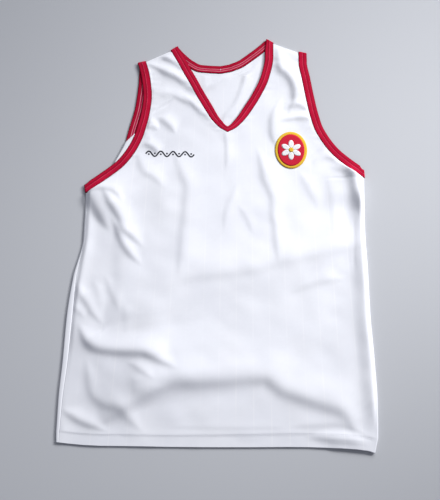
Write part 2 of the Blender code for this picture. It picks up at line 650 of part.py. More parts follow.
def main():
    for existing in list(bpy.data.objects):
        bpy.data.objects.remove(existing, do_unlink=True)
    white = material("white_knit", (0.90, 0.90, 0.93), 0.75)
    crimson = material("crimson_binding", (0.34, 0.012, 0.045), 0.65)
    thread = material("badge_thread", (0.58, 0.02, 0.05), 0.55)
    front = add_panel("front_panel", front_patches(), white)
    add_panel("back_panel", back_patches(), white)
    left = armhole_stations("left", LEFT_UNDERARM_FOLD, LEFT_TIP_FOLD, LEFT_UNDERARM_OUTWARD)
    right = armhole_stations("right", RIGHT_UNDERARM_FOLD, RIGHT_TIP_FOLD, RIGHT_UNDERARM_OUTWARD)
    add_binding("armhole_binding_left", left, crimson)
    add_binding("armhole_binding_right", right, crimson)
    add_binding("neck_binding", neck_stations(), crimson)
    bpy.context.view_layer.update()
    add_badge(front, thread)


main()
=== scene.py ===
"""The looks of a sleeveless V-neck jersey laid flat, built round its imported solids.

Metres, +Z up. The hem faces -Y and the neck +Y. The back lies on z = 0 and the front lies on the back.
The tables are in millimetres and give plan places: x from the middle of the hem, and y from the hem's
lowest corner.
"""

from collections import namedtuple
import math

import bmesh
import bpy
from mathutils import Matrix, Vector
from mathutils.bvhtree import BVHTree
import numpy as np
from numpy.linalg import norm


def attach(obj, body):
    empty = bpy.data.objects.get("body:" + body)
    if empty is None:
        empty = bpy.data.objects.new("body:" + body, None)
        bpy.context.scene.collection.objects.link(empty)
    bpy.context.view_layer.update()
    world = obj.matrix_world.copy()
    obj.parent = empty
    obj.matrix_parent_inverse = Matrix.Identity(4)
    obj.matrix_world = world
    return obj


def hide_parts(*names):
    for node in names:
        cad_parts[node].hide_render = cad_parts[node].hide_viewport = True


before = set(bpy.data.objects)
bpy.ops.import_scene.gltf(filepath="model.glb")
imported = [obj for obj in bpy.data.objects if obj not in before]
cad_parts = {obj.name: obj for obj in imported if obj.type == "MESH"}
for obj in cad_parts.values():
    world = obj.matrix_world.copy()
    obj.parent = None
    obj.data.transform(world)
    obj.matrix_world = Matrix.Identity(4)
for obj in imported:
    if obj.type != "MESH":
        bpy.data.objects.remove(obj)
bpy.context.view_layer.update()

# Driving dimensions, as in the solids
LAY_MIDDLE = (0.0028, 0.3935)  # of the lay's outline, in the tables' places
KNIT = 0.0010
SEAM_GAP = 0.0003
TUCK = 0.005
BINDING_WIDTH = 0.016
BINDING_THICKNESS = 0.0022
MITRE_WIDTH = 0.0118
MITRE_REACH = 0.070
BADGE_WIDTH = 0.060
BADGE_HEIGHT = 0.074
BADGE_THICKNESS = 0.0007
BADGE_CENTRE = (0.131, 0.554)
BADGE_LIFT = 0.0002
BACK_LEVEL = KNIT / 2
FRONT_LEVEL = 0.0028
FRONT_LOWEST = KNIT * 1.5 + SEAM_GAP
BOUND_LEVEL = 0.0036
SHOULDER_LEVEL = 0.0021
BACK_BINDING_LEVEL = BINDING_THICKNESS / 2

# Mesh
FRONT_CELL = 0.0030
BACK_CELL = 0.0050
BACK_NECK_CELL = 0.0025  # above the underarm, where the back shows in the neck
BINDING_CELL = 0.0030
ROLL_STEPS = 10
STRIP_STEPS = 4
TURNED_STEPS = 6
STRIP_PUFF = 0.0003  # how far the strip of the back beside the left side seam swells in its middle
FOLD_SAMPLES = 60
BORDER = 0.0004  # a narrow row along every edge, which keeps the edge crisp
HALF_WIDTH = 0.265  # of a panel, which sets its count of columns
WELD = 1e-6

MM = 0.001


def table(kind, rows):
    """Rows of one kind, given in millimetres."""
    return [kind(*(size * MM for size in row)) for row in rows]


Tube = namedtuple("Tube", "left_x left_y strip left_roll mid_x mid_y right_x right_y right_roll")
TUBE = table(Tube, [
    (-270, 9, 4.5, 1.1, 0, 4, 270, 0, 1.6),
    (-271, 26.5, 5, 1.1, 0, 25, 276, 26, 1.9),
    (-271, 29, 5.5, 1.1, 0, 27.5, 276, 28.5, 1.9),
    (-271, 80, 7, 1.1, 0, 84, 277, 84, 2.2),
    (-268, 150, 9, 1.1, 0, 156, 274, 160, 2.4),
    (-266, 225, 10, 1.1, 1, 234, 269, 240, 2.6),
    (-259, 300, 5.6, 1.1, 3, 312, 267, 320, 2.6),
    (-245, 375, 1.4, 0.8, 5, 392, 264, 405, 2.3),
    (-245, 462, 1.4, 0.8, 8, 482, 265, 501, 1.5),
])
Yoke = namedtuple("Yoke", "left_x left_y mid_x mid_y right_x right_y")
FRONT_YOKE = table(Yoke, [
    (-211, 488, 9, 508, 242, 517),
    (-177, 518, 10, 535, 209, 545),
    (-156, 550, 11, 562, 189, 571),
    (-145, 577, 12, 588, 174, 600),
])
BACK_YOKE = table(Yoke, [
    (-209, 484, 7, 520, 240, 517),
    (-171, 527, 6, 570, 203, 550),
    (-157, 588, 4, 625, 174, 597),
    (-146, 640, 1, 675, 160, 650),
    (-142, 690, -2, 711, 151, 700),
])
Strap = namedtuple(
    "Strap", "left_x left_y neck_left_x neck_left_y neck_right_x neck_right_y right_x right_y"
)
FRONT_STRAPS = table(Strap, [
    (-140, 597, -3, 597.5, 27, 596.5, 169, 617),
    (-136, 616, -18, 613, 43, 613, 165, 633),
    (-132, 657, -43, 654, 73, 662, 158, 668),
    (-136, 694, -65, 694, 90, 703, 152, 702),
    (-141, 717, -84, 729, 98, 746, 146, 736),
    (-146, 733, -99, 757, 98, 777, 146, 759),
])
BACK_STRAPS = table(Strap, [
    (-142, 703, -42, 713, 35, 723, 148, 716),
    (-142, 714, -64, 723, 58, 740, 146, 731),
    (-143, 724, -83, 739, 79, 758, 146, 745),
    (-146, 733, -99, 757, 98, 777, 146, 759),
])

# The hem's lower edge isn't straight: its rise over the straight line between the corners and the middle
Rise = namedtuple("Rise", "x rise")
HEM_CURVE = table(Rise, [
    (-270, 0), (-250, -1.5), (-225, -3), (-195, -3.4), (-150, -2.2), (-80, -1), (-20, 0.6), (67, 3.4),
    (120, 5.5), (155, 6.4), (190, 6.4), (216, 5.9), (240, 5), (260, 3), (270, 0),
])
HEM_CURVE_LOW = 0.025  # up to here the cloth follows the curve
HEM_CURVE_HIGH = 0.090  # and from here it doesn't

# The white edge turned under beside the left armhole: its widths go from its low end to its tip
TURNED_LOW_Y = 0.510
TURNED_HIGH_Y = 0.578
TURNED_WIDTHS = [0.0008, 0.0038, 0.0062, 0.0078, 0.0090, 0.0055, 0.0008]
TURNED_LEVEL = BINDING_THICKNESS + KNIT / 2 + 0.0001
TURNED_PUFF = 0.0003

# Directions of the bindings' folded ends, from the seam to the free edge
LEFT_UNDERARM_FOLD = (-0.17, 0.98)
RIGHT_UNDERARM_FOLD = (-0.06, 1.00)
LEFT_TIP_FOLD = (-0.97, -0.25)
RIGHT_TIP_FOLD = (0.98, -0.20)
LEFT_NECK_FOLD = (0.81, 0.58)
RIGHT_NECK_FOLD = (-0.86, 0.51)
LEFT_NECK_OUTWARD = (-0.58, 0.81)
RIGHT_NECK_OUTWARD = (0.51, 0.86)
FOLD_BLEND = 0.025
FOLD_ANGLES = (67.5, 45, 22.5, 0, -22.5, -45, -67.5)

Fold = namedtuple("Fold", "name height steep gentle path")


def fold(name, height, steep, gentle, *path):
    """A fold, given in millimetres."""
    return Fold(name, height * MM, steep * MM, gentle * MM, np.array(path) * MM)


# The folds of the front. Each path follows a fold's steep flank, with the crest on the left of its run:
# steep and gentle are the widths of the flank and of the fall behind it, and a gentle of 0 makes a
# ridge or a trough the same on both sides. Folds narrow and die away towards both ends.
FRONT_FOLDS = [
    fold("low left sweep", 6.8, 7, 30, (-241, 202), (-231, 182), (-214, 169), (-190, 164), (-160, 162),
         (-133, 161), (-117, 156), (-100, 148), (-82, 141)),
    fold("hem arch", 7.2, 11, 45, (-192, 42), (-172, 54), (-152, 66), (-134, 77), (-116, 88), (-100, 98),
         (-80, 106), (-54, 110), (-21, 110), (20, 114), (61, 118), (82, 118), (96, 110), (112, 98),
         (131, 91), (150, 85), (170, 79), (192, 72), (208, 67), (222, 56), (232, 38)),
    fold("hem arch, left", 3, 9, 22, (-184, 47), (-152, 66), (-116, 88), (-88, 103)),
    fold("hem wave left", 3.2, 7.5, 22, (-227, 142), (-224, 119), (-220, 98), (-208, 80), (-190, 70),
         (-168, 65), (-151, 49), (-134, 35)),
    fold("hem corner left", 3.4, 5, 16, (-264, 63), (-248, 52), (-232, 43), (-213, 36), (-190, 30)),
    fold("lower left slant", 1.4, 3.5, 12, (-155, 146), (-137, 135), (-121, 124), (-108, 117)),
    fold("lower left, middle", 0.8, 6, 16, (-148, 124), (-143, 106), (-139, 88)),
    fold("left chest slant", 6, 6, 24, (-214, 465), (-208, 452), (-203, 441), (-192, 425), (-183, 409),
         (-175, 391), (-158, 376), (-143, 363)),
    fold("left chest slant, lower", 4, 5, 16, (-196, 412), (-189, 396), (-183, 380), (-174, 361),
         (-162, 345), (-143, 328)),
    fold("left underarm", 6.5, 8, 100, (-256, 482), (-247, 466), (-238, 448), (-227, 430), (-214, 410),
         (-203, 393)),
    fold("left underarm arch", 2.5, 3.5, 14, (-240, 461), (-222, 468), (-203, 466), (-190, 458),
         (-179, 444)),
    fold("left side dent", 2.6, 4.5, 18, (-251, 286), (-246, 268), (-233, 250), (-223, 234), (-205, 216)),
    fold("left side dent, middle", 1.5, 7, 14, (-222, 292), (-215, 268), (-208, 240)),
    fold("left side dent, inner", 1.4, 4.5, 18, (-202, 302), (-195, 280), (-186, 262), (-176, 240)),
    fold("left side dent, outer", 1.2, 3.5, 10, (-258, 248), (-247, 236), (-235, 226)),
    fold("left side roll", 3, 2.5, 14, (-240.5, 440), (-240.5, 385), (-245.5, 335), (-250, 290),
         (-255, 240)),
    fold("left middle upright", 1, 6, 20, (-166, 250), (-164, 225), (-161, 198)),
    fold("left side shade", 1.8, 10, 35, (-187, 400), (-184, 330), (-180, 262)),
    fold("left chest upright", 2.4, 6.5, 28, (-86, 538), (-75, 505), (-64, 472), (-66, 445), (-67, 415),
         (-70, 385), (-71, 350), (-73, 315)),
    fold("left chest hook", 2.2, 4.5, 22, (-155, 543), (-150, 517), (-140, 501), (-124, 492),
         (-106, 475)),
    fold("right chest upright", 2.6, 5.5, 22, (69, 545), (75, 515), (78, 495), (87, 475), (94, 453),
         (94, 428), (98, 403), (100, 376), (104, 345)),
    fold("left armhole pucker, low", 3, 3, 14, (-146, 560), (-133, 556), (-122, 548), (-115, 540)),
    fold("left armhole pucker, middle", 0.8, 3, 8, (-146, 577), (-137, 574), (-130, 570)),
    fold("left armhole pucker, high", 2.5, 3, 12, (-144, 594), (-131, 594), (-116, 591)),
    fold("left strap dent", 3.5, 6, 16, (-121, 615), (-108, 606), (-97, 596), (-87, 585)),
    fold("left strap slant", 5.5, 6, 16, (-140, 727), (-128, 720), (-105, 706), (-83, 695), (-66, 683),
         (-54, 672), (-40, 656)),
    fold("left shoulder slant", 4.5, 4, 14, (-128, 747), (-118, 743), (-106, 738), (-94, 731), (-83, 722),
         (-70, 710)),
    fold("left neck slant", 3.5, 5, 14, (-90, 660), (-76, 652), (-58, 645), (-45, 633), (-30, 620),
         (-18, 608)),
    fold("left strap crease", -1.4, 2.6, 0, (-131, 620), (-120, 633), (-106, 642), (-90, 655)),
    fold("left strap band", 2.5, 8, 14, (-130, 664), (-105, 662), (-80, 660), (-62, 655)),
    fold("right strap slant", 6.5, 7, 22, (104, 770), (103, 752), (103, 736), (108, 720), (120, 709),
         (130, 694), (135, 676), (135, 658), (129, 640)),
    fold("right strap upright", 3, 5, 24, (108, 655), (96, 631), (92, 612), (92, 595), (94, 580),
         (103, 562)),
    fold("right armhole pucker, high", 2.2, 4, 10, (118, 634), (126, 641), (141, 645), (156, 640),
         (170, 628)),
    fold("right armhole pucker, low", 3, 4, 11, (112, 611), (124, 615), (144, 618), (160, 618), (176, 618)),
    fold("right underarm", 12, 11, 20, (219, 558), (227, 538), (235, 518), (241, 499), (245, 477),
         (252, 455), (262, 433), (270, 415)),
    fold("packing crease", -0.5, 2.2, 0, (190, 498.5), (225, 499), (264, 499.5)),
    fold("right underarm pucker", 3, 8, 16, (205, 519), (220, 515), (234, 509), (246, 503), (260, 499)),
    fold("right chest hook", 1.4, 4, 12, (176, 520), (185, 535), (198, 540), (209, 534), (216, 524)),
    fold("right chest slant", -1, 3.5, 0, (156, 524), (166, 536), (176, 546), (190, 562)),
    fold("right side upright", 1.2, 6, 18, (196, 508), (198, 485), (202, 455), (204, 425), (205, 395)),
    fold("right underarm hollow", 4, 20, 60, (202, 522), (205, 482), (208, 442)),
    fold("under the badge", 1.6, 6.5, 18, (146, 508), (153, 492), (161, 475), (170, 458), (178, 442)),
    fold("below the V", 1.4, 3.5, 14, (5, 598), (8, 572), (10, 545), (10, 515)),
    fold("middle chest, left", 1.4, 4.5, 16, (30, 484), (18, 456), (10, 428), (7, 398)),
    fold("middle chest, right", 1, 4, 14, (33, 442), (47, 419), (61, 388)),
    fold("waist break", 2.5, 9, 50, (-190, 214), (-172, 222), (-144, 239), (-103, 270), (-54, 298),
         (-1, 306), (53, 313), (121, 333), (175, 345), (227, 359), (262, 367)),
    fold("waist step, right", 1.8, 5.5, 22, (134, 279), (150, 286), (165, 292), (190, 299), (222, 304)),
    fold("right side ridge", 5, 15, 30, (248.5, 468), (250, 430), (251, 385), (251, 340), (252, 286),
         (253, 213), (255, 159), (258, 116), (263, 81), (268, 50)),
    fold("right side line", -0.6, 1.8, 0, (245, 428), (244, 390), (243, 351), (242, 300)),
    fold("waist break, lower", 4.5, 28, 70, (-250, 150), (-200, 180), (-144, 210), (-95, 242), (-45, 270),
         (0, 280), (60, 290), (130, 312), (190, 330), (250, 345)),
    fold("left chest hollow", 2, 16, 30, (-150, 500), (-125, 478), (-112, 450), (-110, 410)),
    fold("left underarm, outer", 3, 7, 100, (-262, 474), (-252, 458), (-242, 442), (-231, 426), (-218, 408),
         (-208, 396)),
    fold("low left hollow", 10, 45, 130, (-164, 192), (-153, 134), (-142, 76)),
    fold("low left shelf", 4, 28, 40, (-235, 128), (-190, 118), (-140, 112), (-95, 116)),
    fold("waist hollow left", 4.5, 30, 90, (-154, 264), (-145, 212), (-136, 160)),
    fold("left strap dent, upper", 1.2, 4, 10, (-142, 612), (-134, 606), (-128, 598)),
    fold("hem line", 0.6, 3, 12, (-75, 37), (0, 37), (60, 38), (110, 40)),
    fold("hem swell right", 1.6, 5, 18, (130, 41), (170, 43), (205, 45), (228, 41), (252, 31)),
    fold("hem dent right", 4.5, 5, 12, (158, 24), (185, 21), (205, 19), (228, 17.8), (256, 16.5)),
    fold("hem corner right", 2.8, 26, 0, (195, 2), (230, 10), (262, 6)),
]
# Both ends of a fold run straight on and die away. They narrow too, but for the broad folds
RUN_OUT_SHARE = 0.12  # of its length
RUN_OUT_LONGEST = 0.020
END_SHARE = 0.38
END_LONGEST = 0.060
END_STEEP = 0.35  # width left at the ends
END_GENTLE = 0.25
BROAD = 0.014  # the least width of a broad fold's flank
# The folds of the back, where it shows in the neck
BACK_FOLDS = [
    fold("crease in the V", 2, 1.6, 10, (22, 716), (10, 709), (0, 703), (-11, 695), (-22, 686), (-33, 675)),
    fold("step in the V", 2, 3, 14, (44, 735), (42, 722), (40, 699), (33, 673), (25, 652), (14, 635),
         (5, 623), (0, 600)),
    fold("step by the neck", 1.4, 3.5, 10, (72, 742), (60, 727), (48, 712), (36, 690)),
    fold("left neck upright", 0.8, 4, 12, (-36, 712), (-36, 695), (-33, 675)),
]
EDGE_EASE = 0.024
ROLLED_EDGE_EASE = 0.030
HEM_EASE = 0.055
FOLD_FADE = 0.005
NECK_FADE = 0.020
NECK_SHARE = 0.6  # of a fold's height that is left where it runs under the neck's binding
NECK_END_EASE = 0.030
SHOULDER_EASE = 0.010
# The stitched line of the hem: the cloth above it stands over it and falls back over a gentle slope
HEM_STITCH_LEFT = 0.0183  # over the lower edge, up to STITCH_LEFT_X
HEM_STITCH_RIGHT = 0.0220  # and from STITCH_RIGHT_X on
STITCH_LEFT_X = -0.100
STITCH_RIGHT_X = 0.150
HEM_STEP = 0.0006
HEM_STEP_FLANK = 0.0012
HEM_STEP_REACH = 0.010

# Small unevenness of the cloth: (length of the waves, height)
RIPPLES = [(0.070, 0.00022), (0.026, 0.00005)]
RIPPLE_WAVES = 14
RIPPLE_SPREAD = (0.7, 1.5)  # of the waves' lengths
RIPPLE_SEED = 3
PUCKER_LENGTH = 0.013  # between the small gathers along the bindings
PUCKER_STRETCHES = (0.8, 1.0, 1.37, 1.9)
PUCKER_HEIGHT = 0.00028
PUCKER_REACH = 0.012
ARMHOLE_SEED = 5
NECK_SEED = 6

# Grain of the cloth: its pinstripes lean outwards towards the hem
STRIPE_PITCH = 0.0287
STRIPE_SHIFT = 0.0035
STRIPE_LEAN = 0.25
STRIPE_LEVEL = 0.32  # where the stripes have their pitch
WALE = 0.0011  # the knit's columns and rows of loops
COURSE = 0.0014
RIB = 0.0013
THREAD = 0.0009
THREAD_SLANT = 0.35


def smooth(values, at):
    """A monotone cubic curve through one value a knot, read at fractions of the knots."""
    values = np.asarray(values, float)
    steps = np.diff(values)
    slopes = np.zeros_like(values)
    product = steps[:-1] * steps[1:]
    total = np.where(product > 0, steps[:-1] + steps[1:], 1.0)
    slopes[1:-1] = np.where(product > 0, 2 * product / total, 0.0)
    slopes[0] = steps[0]
    slopes[-1] = steps[-1]
    low = np.clip(np.floor(at).astype(int), 0, len(steps) - 1)
    t = at - low
    return (
        values[low] * (1 + 2 * t) * (1 - t) ** 2
        + slopes[low] * t * (1 - t) ** 2
        + values[low + 1] * t**2 * (3 - 2 * t)
        + slopes[low + 1] * t**2 * (t - 1)
    )


def smooth_step(share):
    share = np.clip(share, 0.0, 1.0)
    return share * share * (3 - 2 * share)


def smooth_line(points, count):
    """Points spread evenly by number on a smooth line through the given ones."""
    at = np.linspace(0, len(points) - 1, count)
    return np.column_stack([smooth([p[axis] for p in points], at) for axis in (0, 1)])


def column(rows, x_name, y_name, at):
    """Plan points read from two named columns of table rows."""
    return np.column_stack([smooth([getattr(row, name) for row in rows], at) for name in (x_name, y_name)])


def row_places(rise, cells):
    """Where the mesh rows lie, in fractions of the table's rows, from the y of each table row."""
    heights = np.diff(rise)
    last = len(rise) - 1.0
    places = []
    for row, (height, cell) in enumerate(zip(heights, cells)):
        steps = max(2, round(height / cell))
        places += [row + part / steps for part in range(steps)]
    borders = [BORDER / heights[0], last - BORDER / heights[-1]]
    return np.sort(places + borders + [last])


class Lay:
    """One panel's plan: the edge and inner points of each mesh row of its left and its right half."""

    def __init__(self, yoke, straps, tube_cell, upper_cell, pointed):
        """A pointed neck has a corner at its lowest place, and any other runs smoothly through it."""
        underarm = len(TUBE) - 1
        bottom = underarm + len(yoke)
        rise = [row.mid_y for row in TUBE + yoke]
        rise += [(row.left_y + row.neck_left_y + row.neck_right_y + row.right_y) / 4 for row in straps]
        at = row_places(rise, [tube_cell] * underarm + [upper_cell] * (len(yoke) + len(straps)))
        self.tube_at = at[at <= underarm]
        self.underarm = len(self.tube_at) - 1
        self.neck = int(np.sum(at <= bottom)) - 1
        above = at[at > underarm] - underarm
        self.edges = {}
        self.inner = {}
        for side in ("left", "right"):
            names = (side + "_x", side + "_y")
            tube_edge = column(TUBE, *names, self.tube_at)
            armhole = column(TUBE[-1:] + yoke + straps, *names, above)
            self.edges[side] = np.vstack([tube_edge, armhole])
            middle = column(TUBE + yoke, "mid_x", "mid_y", at[at <= bottom])
            lowest = (yoke[-1].mid_x, yoke[-1].mid_y)
            crossed = straps[0][4:6] + straps[0][2:4]
            before = [] if pointed else [Strap(0, 0, *crossed, 0, 0)]
            rows = before + [Strap(0, 0, *lowest, *lowest, 0, 0)] + straps
            neck = ("neck_" + names[0], "neck_" + names[1])
            seam = column(rows, *neck, at[at > bottom] - bottom + len(before))
            self.inner[side] = np.vstack([middle, seam])

    def tube_column(self, name):
        """A column of the tube's table, read for the rows up to the underarm."""
        return smooth([getattr(row, name) for row in TUBE], self.tube_at)

    def armhole_seam(self, side):
        return self.edges[side][self.underarm :]

    def neck_seam(self, side):
        return self.inner[side][self.neck :]


FRONT = Lay(FRONT_YOKE, FRONT_STRAPS, FRONT_CELL, FRONT_CELL, pointed=True)
BACK = Lay(BACK_YOKE, BACK_STRAPS, BACK_CELL, BACK_NECK_CELL, pointed=False)


def hem_rise(x):
    return np.interp(x, [row.x for row in HEM_CURVE], [row.rise for row in HEM_CURVE])


def grid_between(edge, inner, columns):
    """Plan points in straight rows from the edge to the inner points, with a narrow column at both."""
    border = BORDER / norm(inner - edge, axis=1)[:, None]
    even = np.broadcast_to(np.linspace(0, 1, columns + 1)[1:-1], (len(edge), columns - 1))
    share = np.hstack([0 * border, border, even, 1 - border, 1 + 0 * border])[..., None]
    plan = edge[:, None, :] * (1 - share) + inner[:, None, :] * share
    share = (plan[..., 1] - HEM_CURVE_LOW) / (HEM_CURVE_HIGH - HEM_CURVE_LOW)
    plan[..., 1] += hem_rise(plan[..., 0]) * (1 - smooth_step(share))
    return plan


def along_line(points, line):
    """Signed distances to a line, positive on the left of its run, places along it, and its length."""
    run = np.diff(line, axis=0)
    length = norm(run, axis=1)
    start = lengths_along(line)
    away = points[:, None] - line[:-1]
    share = np.clip((away * run).sum(axis=2) / length**2, 0, 1)
    gap = away - share[..., None] * run
    distance = norm(gap, axis=2)
    nearest = distance.argmin(axis=1)
    every = np.arange(len(points))
    from_start = away[every, nearest]
    side = np.sign(run[nearest, 0] * from_start[:, 1] - run[nearest, 1] * from_start[:, 0])
    place = start[nearest] + share[every, nearest] * length[nearest]
    return side * distance[every, nearest], place, start[-1]


def fold_line(path):
    """A fold's smooth line, which runs straight on at both ends."""
    line = smooth_line(path, FOLD_SAMPLES)
    reach = min(RUN_OUT_SHARE * lengths_along(line)[-1], RUN_OUT_LONGEST)
    start = line[0] + unit(line[0] - line[1]) * reach
    end = line[-1] + unit(line[-1] - line[-2]) * reach
    return np.vstack([start, line, end])


def fold_heights(plan, folds):
    """What the folds add to the height at plan points of any array shape."""
    flat = plan.reshape(-1, 2)
    added = np.zeros(len(flat))
    for one in folds:
        line = fold_line(one.path)
        reach = 3 * max(one.steep, one.gentle)
        inside = (flat > line.min(axis=0) - reach) & (flat < line.max(axis=0) + reach)
        near = np.flatnonzero(inside.all(axis=1))
        across, place, length = along_line(flat[near], line)
        ends = smooth_step(np.minimum(place, length - place) / min(END_SHARE * length, END_LONGEST))
        narrow = ends if one.steep < BROAD else 1.0
        steep = one.steep * (END_STEEP + (1 - END_STEEP) * narrow)
        if one.gentle:
            gentle = one.gentle * (END_GENTLE + (1 - END_GENTLE) * narrow)
            profile = (1 + np.tanh(across / steep)) / 2 * np.exp(-((np.maximum(across, 0) / gentle) ** 2))
        else:
            profile = np.exp(-((across / steep) ** 2))
        added[near] += one.height * ends * profile
    return added.reshape(plan.shape[:-1])


def ripples(plan):
    """Small uneven waves all over the cloth."""
    rng = np.random.default_rng(RIPPLE_SEED)
    added = np.zeros(plan.shape[:-1])
    for length, height in RIPPLES:
        for _ in range(RIPPLE_WAVES):
            turn = rng.uniform(0, math.tau)
            rate = math.tau / (length * rng.uniform(*RIPPLE_SPREAD))
            phase = rng.uniform(0, math.tau)
            wave = np.sin(rate * (plan[..., 0] * math.cos(turn) + plan[..., 1] * math.sin(turn)) + phase)
            added += wave * height * math.sqrt(2 / RIPPLE_WAVES)
    return added


def puckers(from_seam, place, seed):
    """Small gathers beside a bound seam, from the distance to it and the place along it."""
    rng = np.random.default_rng(seed)
    pitches = [PUCKER_LENGTH * stretch for stretch in PUCKER_STRETCHES]
    wave = sum(np.sin(place * math.tau / pitch + rng.uniform(0, math.tau)) for pitch in pitches)
    return wave / 2 * PUCKER_HEIGHT * np.exp(-((from_seam / PUCKER_REACH) ** 2))


def hem_stitch(x):
    """How far the stitched line of the hem lies over the lower edge."""
    return np.interp(x, [STITCH_LEFT_X, STITCH_RIGHT_X], [HEM_STITCH_LEFT, HEM_STITCH_RIGHT])


def hem_stitch_step(x, from_hem):
    """The cloth above the stitched line of the hem stands a little over it, and falls back above."""
    above = from_hem - hem_stitch(x)
    flank = (1 + np.tanh(above / HEM_STEP_FLANK)) / 2
    return HEM_STEP * flank * np.exp(-((np.maximum(above, 0) / HEM_STEP_REACH) ** 2))


def neck_level(seam):
    """The middle of the front's neck binding, which the folds that run under it lift."""
    ends = smooth_step(norm(seam - seam[-1], axis=1) / NECK_END_EASE)
    return BOUND_LEVEL + NECK_SHARE * fold_heights(seam, FRONT_FOLDS) * ends


def front_half(side, columns):
    """The middle surface of one half of the front, rows by columns by (x, y, z)."""
    edge = FRONT.edges[side].copy()
    rows = FRONT.underarm + 1
    edge_level = np.full(len(edge), BOUND_LEVEL)
    edge[:rows, 0] += FRONT.tube_column("strip") if side == "left" else -FRONT.tube_column("right_roll")
    edge_level[:rows] = BACK_LEVEL + 2 * FRONT.tube_column(side + "_roll")
    plan = grid_between(edge, FRONT.inner[side], columns)
    from_edge = norm(plan - plan[:, :1], axis=2)
    neck_point = FRONT.inner[side][np.maximum(np.arange(len(plan)), FRONT.neck)]
    from_neck = norm(plan - neck_point[:, None], axis=2)
    from_hem = plan[..., 1] - plan[:1, :, 1]
    open_level = FRONT_LOWEST + (FRONT_LEVEL - FRONT_LOWEST) * smooth_step(from_hem / HEM_EASE)
    edge_ease = EDGE_EASE if side == "left" else ROLLED_EDGE_EASE
    edge_rise = (edge_level[:, None] - open_level) * (1 - smooth_step(from_edge / edge_ease))
    neck_rise = (BOUND_LEVEL - open_level) * (1 - smooth_step(from_neck / EDGE_EASE))
    neck_fade = NECK_SHARE + (1 - NECK_SHARE) * smooth_step(from_neck / NECK_FADE)
    neck_fade = np.where(np.arange(len(plan))[:, None] < FRONT.neck, 1.0, neck_fade)
    fade = smooth_step(from_edge / FOLD_FADE) * neck_fade
    level = open_level + np.maximum(edge_rise, neck_rise)
    step = hem_stitch_step(plan[..., 0], from_hem)
    level += (fold_heights(plan, FRONT_FOLDS) + ripples(plan) + step) * fade
    level = np.maximum(level, FRONT_LOWEST)
    eased = smooth_step(norm(plan - plan[-1:], axis=2) / SHOULDER_EASE)
    level = SHOULDER_LEVEL * (1 - eased) + level * eased
    along_edge = lengths_along(edge)[:, None]
    row = np.arange(len(edge))[:, None]
    level += np.where(row > FRONT.underarm, puckers(from_edge, along_edge, ARMHOLE_SEED), 0.0)
    level += np.where(row > FRONT.neck, puckers(from_neck, along_edge, NECK_SEED), 0.0)
    return np.dstack([plan, level])


def roll(top, outward, radius, angles):
    """Rows of points round a folded side, from the top wall's point at 90 degrees down to -90 degrees."""
    x, y, z = top.T[..., None]
    radius = radius[:, None]
    across = x + outward * radius * np.cos(angles)
    return np.stack([across, y + 0 * across, z - radius + radius * np.sin(angles)], axis=2)


def front_patches():
    """The front's middle surface: two halves and the roll round its right side to the side seam."""
    columns = round(HALF_WIDTH / FRONT_CELL)
    left = front_half("left", columns)
    right = front_half("right", columns)
    rows = FRONT.underarm + 1
    top = right[:rows, 0]
    radius = (top[:, 2] - BACK_LEVEL) / 2
    side_roll = roll(top, 1, radius, np.linspace(math.pi / 2, -math.pi / 2, ROLL_STEPS + 1))
    under = side_roll[:, -1:] - (TUCK, 0.0, 0.0)
    return [left, right, np.hstack([side_roll, under])]


def back_patches():
    """The back's middle surface: two halves and the roll up round its left side to the side seam."""
    columns = round(HALF_WIDTH / BACK_CELL)
    rows = BACK.underarm + 1
    radius = BACK.tube_column("left_roll")
    halves = []
    for side in ("left", "right"):
        edge = BACK.edges[side].copy()
        if side == "left":
            edge[:rows, 0] += radius
        else:
            edge[:rows, 0] -= BACK.tube_column("right_roll") + TUCK + SEAM_GAP
        plan = grid_between(edge, BACK.inner[side], columns)
        halves.append(np.dstack([plan, BACK_LEVEL + fold_heights(plan, BACK_FOLDS)]))
    top = halves[0][:rows, 0].copy()
    top[:, 2] += 2 * radius
    side_roll = roll(top, -1, radius, np.linspace(-math.pi / 2, math.pi / 2, ROLL_STEPS + 1))
    width = BACK.tube_column("strip") - radius - SEAM_GAP
    shares = np.linspace(0, 1, STRIP_STEPS + 1)[1:]
    strip = np.repeat(side_roll[:, -1:], STRIP_STEPS, axis=1)
    strip[..., 0] += width[:, None] * shares
    strip[..., 2] += STRIP_PUFF * np.sin(math.pi * shares)
    return halves + [np.hstack([side_roll, strip])]


def placed(points):
    """Points of the tables in the object's frame, whose origin is the middle of its underside."""
    return np.asarray(points, float) - (*LAY_MIDDLE, 0.0)


def grain(x, y):
    """Plan places in the cloth's own directions: across its pinstripes and along them."""
    return (x - STRIPE_SHIFT) / (1 + STRIPE_LEAN * (STRIPE_LEVEL - y)), y


def linked(name, data):
    made = bpy.data.objects.new(name, data)
    bpy.context.scene.collection.objects.link(made)
    return made


def add_object(name, bm, finish):
    """A smooth-shaded object of the mesh under construction."""
    mesh = bpy.data.meshes.new(name)
    bm.to_mesh(mesh)
    bm.free()
    mesh.shade_smooth()
    mesh.materials.append(finish)
    return linked(name, mesh)


